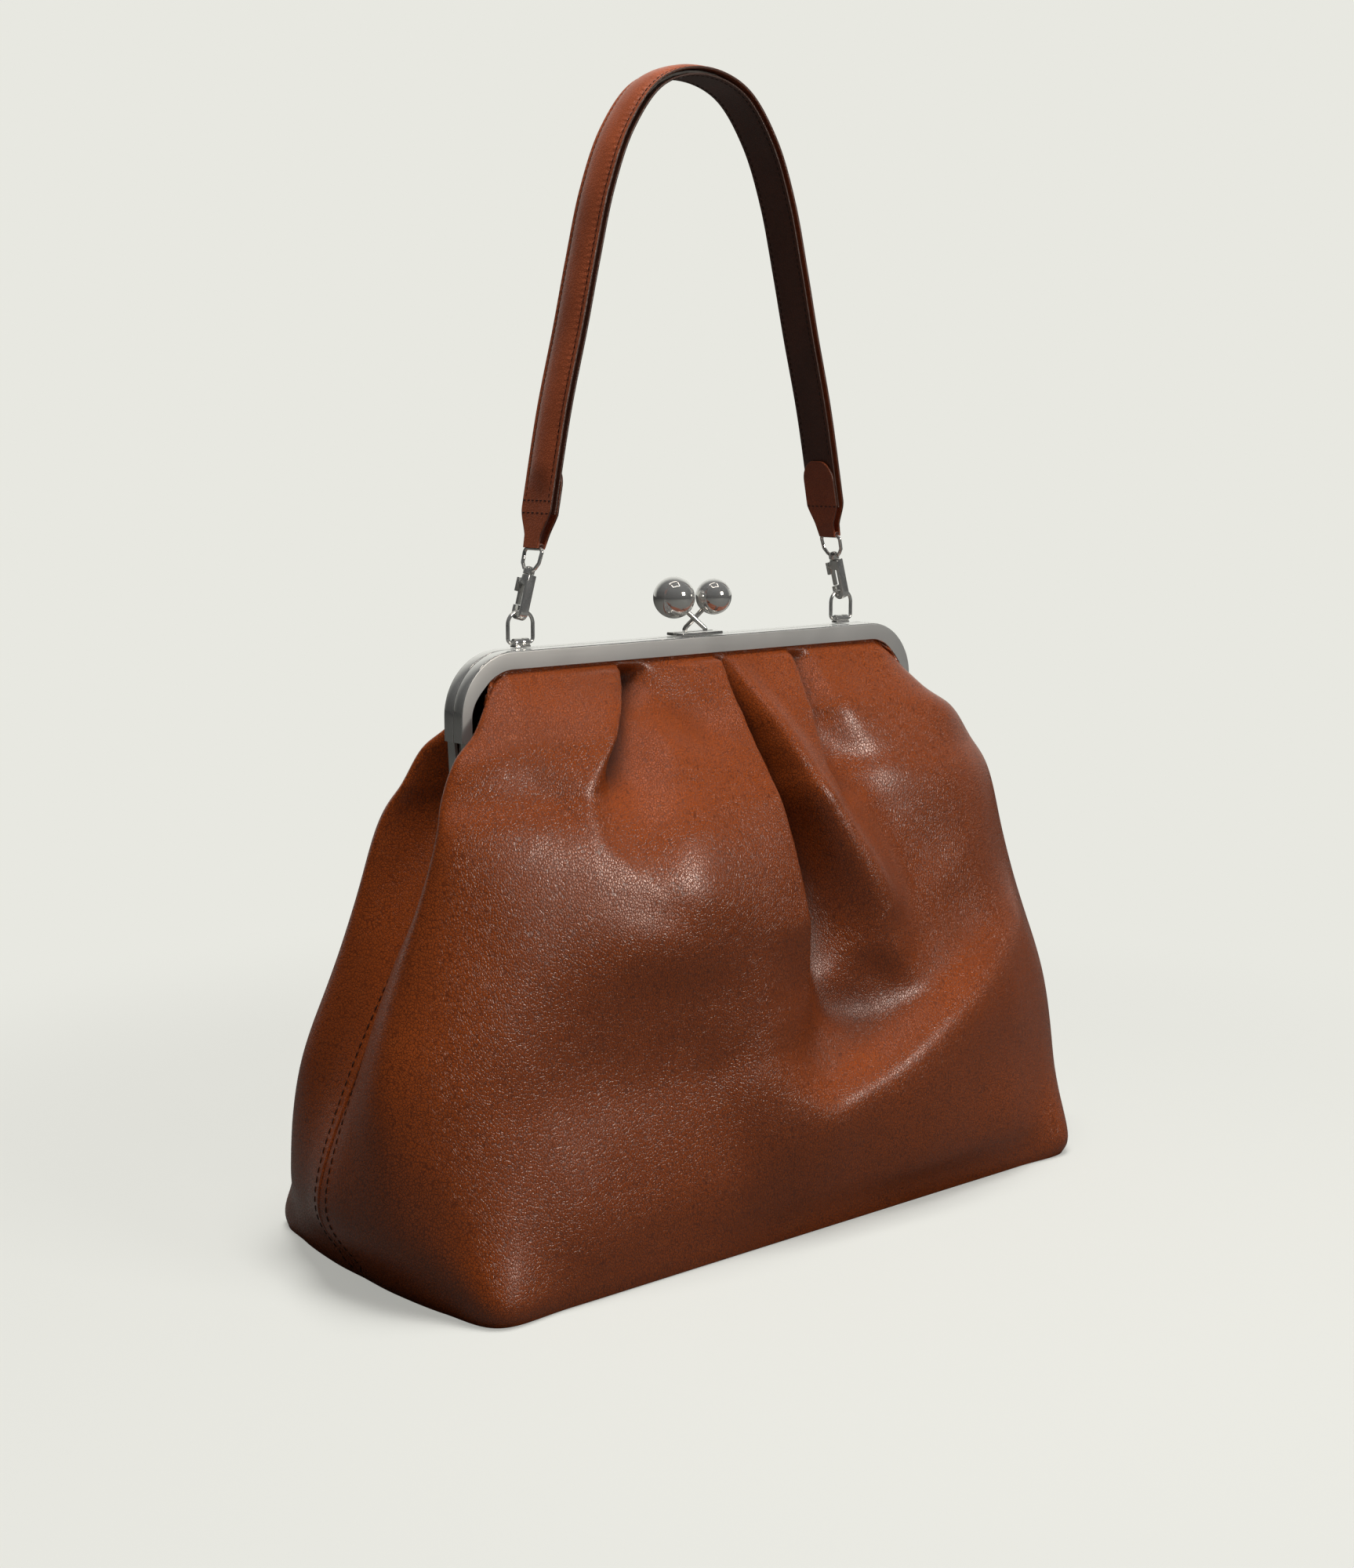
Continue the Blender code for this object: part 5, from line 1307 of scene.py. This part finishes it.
def buildRing(name, end):
    wire, foot, crown = hookSizes["wire"], metal["ringFoot"], metal["ringCrown"]
    half, height = metal["ringSize"] / 2 - wire, metal["ringSize"] - 2 * wire
    center = Vector((end * hookSizes["ringHalf"], strap["side"], metal["ringAxis"]))
    corners = ((half, 0, foot, -90), (half, height, crown, 0), (-half, height, crown, 90), (-half, 0, foot, 180))
    path = []
    for x, z, radius, start in corners:
        cx, cz = x - math.copysign(radius, x), z + radius if z == 0 else z - radius
        path += [center + Vector((y, 0, h)) for y, h in arcPoints(cx, cz, radius, start, start + 90, 9)]
    ring = wirePiece(f"{name}_loop", path, wire, 18, True)
    setMetal(ring, f"{name}_ring", f"{name}_ring_loop")
    radius, length = metal["lug"]
    groove = ((-0.3 * mm, 0), (0, 0.12 * mm), (0.3 * mm, 0))
    profile = [(0, radius - 0.35 * mm), (0.15 * mm, radius)]
    profile += [(length * 0.5 + along, radius - deep) for along, deep in groove]
    profile += [(length - 0.15 * mm, radius), (length, radius - 0.35 * mm)]
    barrel = turnedRings(center - Vector((length / 2, 0, 0)), (1, 0, 0), profile, 28)
    footWidth, footThick = metal["lugFoot"]
    seat = (center.x, center.y, bag["frameTop"] + metal["plateLift"])
    lug = metalSkin(f"{name}_lug", barrel, boxRings(length / 2, footWidth / 2, footThick, seat))
    bevelled(lug, metal["lugRound"], 2, 60)
    setMetal(lug, f"{name}_ring_lug", "back_frame_half")


def plateRings(outline, half, place):
    return [[place @ Vector((x, y, z)) for y, z in outline] for x in (-half, half)]


def cutWith(piece, cutter, operation="DIFFERENCE"):
    applied(piece, "BOOLEAN", {"solver": "EXACT", "operation": operation, "object": cutter})
    bpy.data.objects.remove(cutter)


def joinInto(piece, other):
    bm = bmesh.new()
    bm.from_mesh(piece.data)
    bm.from_mesh(other.data)
    bm.to_mesh(piece.data)
    bm.free()
    bpy.data.objects.remove(other)
    smoothed(piece, 50)


def hookTurned(place, base, axis, profile, sides):
    return turnedRings(place @ Vector(base), place.to_3x3() @ Vector(axis), profile, sides)


def hookBody(name, place, size):
    # the plate with its nose, its slot for the gate, and the stud that turns in the eye's collar
    outer, inner = size["width"] / 2, size["width"] / 2 - size["wall"]
    pinY, pinZ = size["pin"]
    outline = arcPoints(0, size["bend"], outer, 360, 180, 28)
    outline += [(-outer, size["top"]), (size["stud"] + 0.4 * mm, size["top"])]
    outline += arcPoints(pinY, pinZ, size["lobe"], 90, -90, 16)
    outline += [(-inner, size["throat"])]
    outline += arcPoints(0, size["bend"], inner, 180, 360, 24)
    outline += [(inner, size["nose"]), (outer, size["nose"])]
    body = metalSkin(f"{name}_hook", plateRings(outline, size["thickness"] / 2, place))
    slotIn, slotTop, slotLow = pinY - size["lobe"], pinZ + size["lobe"], size["throat"] - 2 * mm
    slot = [(slotIn, slotLow), (size["width"], slotLow), (size["width"], slotTop), (slotIn, slotTop)]
    cutWith(body, metalSkin("slotCutter", plateRings(slot, size["gate"] / 2 + size["slotRoom"], place)))
    bevelled(body, size["bodyRound"], 3, 40)
    rise = size["collarSpan"][1] - size["top"] + 0.7 * mm
    profile = [(0, size["stud"]), (rise, size["stud"]), (rise + 0.02 * mm, 2.0 * mm)]
    for t in (0.0, 0.4, 0.8, 1.2, 1.45):
        profile.append((rise + 0.02 * mm + 1.2 * mm * math.sin(t), 2.1 * mm * math.cos(t)))
    joinInto(body, metalSkin("studPart", hookTurned(place, (0, 0, size["top"] - 0.4 * mm), (0, 0, 1), profile, 28)))
    return body


def hookGate(name, place, size):
    # the tongue that closes the hook, with its thumb plate
    outer = size["width"] / 2
    pinY, pinZ = size["pin"]
    thumbIn = pinY + size["lobe"] + 0.3 * mm
    thumbOut, thumbTop = thumbIn + 1.5 * mm, pinZ + size["lobe"]
    thumbLow, thumbMiddle = thumbTop - 6.4 * mm, (thumbIn + thumbOut) / 2
    legIn, legLow = outer - 1.3 * mm, size["nose"] + 0.3 * mm
    tongue = arcPoints(pinY, pinZ, size["lobe"] - 0.3 * mm, 60, 200, 14)
    tongue += [(legIn, size["throat"] - 1.3 * mm), (legIn, legLow), (outer, legLow), (outer, thumbLow)]
    tongue += [(thumbMiddle, thumbLow + 1.5 * mm), (thumbMiddle, pinZ)]
    gate = metalSkin(f"{name}_gate", plateRings(tongue, size["gate"] / 2, place))
    thumb = [(thumbIn, thumbLow), (thumbOut, thumbLow), (thumbOut, thumbTop), (thumbIn, thumbTop)]
    cutWith(gate, metalSkin("thumbPart", plateRings(thumb, size["thickness"] / 2, place)), "UNION")
    bevelled(gate, size["gateRound"], 3, 40)
    return gate


def hookPin(name, place, size):
    half, radius = size["thickness"] / 2, size["pinRadius"]
    profile = [(-0.12 * mm, 0.35 * mm), (0, radius), (2 * half, radius), (2 * half + 0.12 * mm, 0.35 * mm)]
    return metalSkin(f"{name}_pin", hookTurned(place, (-half, *size["pin"]), (1, 0, 0), profile, 20))


def hookEye(name, place, size):
    # the wire eye that holds the strap, and the collar round the hook's stud
    low, high = size["collarSpan"]
    half, neck, middle = size["eyeWidth"] / 2 - size["wire"], size["collar"] - size["wire"], (low + high) / 2
    corner, bar = size["eyeCorner"], size["eyeBar"] - size["eyeCorner"]
    right = [(neck, middle), ((neck + half) / 2, middle + 1.7 * mm)]
    right += [(half - 0.4 * mm, middle + 4.2 * mm), (half, bar)]
    path = [(-neck, middle), *right]
    path += arcPoints(half - corner, bar, corner, 18, 90, 5) + arcPoints(-half + corner, bar, corner, 90, 162, 5)
    path += [(-y, z) for y, z in reversed(right[1:])]
    eye = wirePiece(f"{name}_eye", [place @ Vector((0, y, z)) for y, z in path], size["wire"], 18, True)
    tall, radius = high - low, size["collar"]
    profile = [(0, radius - 0.3 * mm), (0.25 * mm, radius), (tall - 0.25 * mm, radius), (tall, radius - 0.3 * mm)]
    joinInto(eye, metalSkin("collarPart", hookTurned(place, (0, 0, low), (0, 0, 1), profile, 32)))
    return eye


def buildHook(name, end):
    makers = (
        (hookBody, "hook_body", f"{name}_hook"),
        (hookGate, "hook_gate", f"{name}_gate"),
        (hookPin, "gate_pin", f"{name}_hook"),
        (hookEye, "swivel_eye", "handle"),
    )
    for maker, node, owner in makers:
        setMetal(maker(name, hookPlace(end), hookSizes), f"{name}_{node}", owner)


for half, side in (("front", -1), ("back", 1)):
    buildFrame(half, side)
    buildClasp(half, side)
for name, end in (("left", -1), ("right", 1)):
    buildRivet(name, end)
    buildRing(name, end)
    buildHook(name, end)
print("frame and hardware made")

# finishes of the solids that stay in view
nodeLooks = {
    "base_panel": "leather",
    "base_board": "board",
    "front_channel_filler": "board",
    "back_channel_filler": "board",
    "strap_core": "board",
}
for name, look in nodeLooks.items():
    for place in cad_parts[name].material_slots:
        place.material = looks[look]
print("solids finished")

studio = {
    "backdrop": (0.807, 0.807, 0.753),
    "floor": (0.73, 0.73, 0.681),
    "bounce": (0.14, 0.14, 0.13),
    "floorGlow": 0.45,
    "fade": (0.28, 0.66),
    "cameraPlace": (-0.7153, -0.8299, 0.3798),
    "yaw": 49.7,
    "pitch": 9.0,
    "lens": 51.516,
    "fillColour": (1.0, 0.99, 0.97),
    "fill": 0.10,
    "roomWay": (0.65, 0.76, 0.0),
    "roomEdge": (0.30, 0.95),
    "roomDark": 0.03,
    "softColour": (1.0, 1.0, 1.0),
    "sheenColour": (1.0, 0.91, 0.82),
}


def makeFloor():
    bpy.ops.mesh.primitive_plane_add(size=40, location=(0, 0, -0.0004))
    floor = bpy.context.object
    floor.name = "studio_floor"
    finish = Finish("studioFloor", 0.9, 0.0, 0.0)
    away = finish.vector("LENGTH", {0: finish.place()}, 1)
    seen = finish.node("ShaderNodeLightPath")
    own = studio["floorGlow"]
    glow = (finish.range(away, *studio["fade"]) * (1.0 - own) + own) * seen
    finish.put("Base Color", finish.mix(1.0 - seen, studio["floor"], studio["bounce"]))
    backdrop = finish.node("ShaderNodeEmission", None, {"Color": (*studio["backdrop"], 1), "Strength": 1.0})
    shader = Wire(finish, finish.shader.outputs[0])
    mixed = finish.node("ShaderNodeMixShader", None, {0: glow, 1: shader, 2: backdrop})
    finish.plug(finish.tree.nodes["Material Output"].inputs["Surface"], mixed)
    floor.data.materials.append(finish.material)


def makeWorld():
    # the camera sees the backdrop, metal sees a room that is lighter on one side, the rest gets a faint fill
    world = bpy.data.worlds.new("studioWorld")
    world.use_nodes = True
    world.node_tree.nodes.clear()
    graph = Graph(world.node_tree)

    def background(colour, strength):
        return graph.node("ShaderNodeBackground", None, {0: (*colour, 1), 1: strength})

    facing = {0: graph.node("ShaderNodeTexCoord"), 1: studio["roomWay"]}
    room = graph.range(graph.vector("DOT_PRODUCT", facing, 1), *studio["roomEdge"], studio["roomDark"])
    light = background(studio["fillColour"], studio["fill"])
    for ray, strength in (("Is Glossy Ray", room), ("Is Camera Ray", 1.0)):
        shown = background(studio["backdrop"], strength)
        pick = {0: graph.node("ShaderNodeLightPath", output=ray), 1: light, 2: shown}
        light = graph.node("ShaderNodeMixShader", None, pick)
    graph.node("ShaderNodeOutputWorld", None, {0: light})
    bpy.context.scene.world = world


def aimed(made, place, way):
    made.location = place
    made.rotation_euler = way.to_track_quat("-Z", "Y").to_euler()


def addLight(name, part, place, target, size, power):
    data = bpy.data.lights.new(name, "AREA")
    data.shape = "RECTANGLE"
    data.size, data.size_y = size
    data.energy = power
    data.color = studio[part + "Colour"]
    lamp = addObject(name, data)
    lamp.visible_diffuse = part == "soft"
    lamp.visible_glossy = part == "sheen"
    aimed(lamp, place, Vector(target) - Vector(place))


def makeCamera():
    data = bpy.data.cameras.new("camera")
    data.lens = studio["lens"]
    data.sensor_width = 36
    data.clip_start = 0.01
    camera = addObject("camera", data)
    yaw, pitch = math.radians(studio["yaw"]), math.radians(studio["pitch"])
    forward = Vector((math.cos(yaw) * math.cos(pitch), math.sin(yaw) * math.cos(pitch), -math.sin(pitch)))
    aimed(camera, studio["cameraPlace"], forward)
    bpy.context.scene.camera = camera


makeFloor()
makeWorld()
makeCamera()
# each light is split into its soft part and its sheen, so that the leather's gloss is set on its own
addLight("topLight", "soft", (-0.05, -0.25, 2.3), (0, 0, 0.1), (1.1, 1.1), 52)
addLight("topSheen", "sheen", (-0.05, -0.25, 2.3), (0, 0, 0.1), (1.3, 1.3), 18)
addLight("frontLight", "soft", (0.50, -1.99, 0.98), (0, 0, 0.17), (0.9, 0.75), 13)
addLight("frontSheen", "sheen", (0.60, -1.92, 1.04), (0, 0, 0.17), (0.54, 0.5), 24)
bpy.context.scene.view_settings.view_transform = "Standard"
print("studio set")
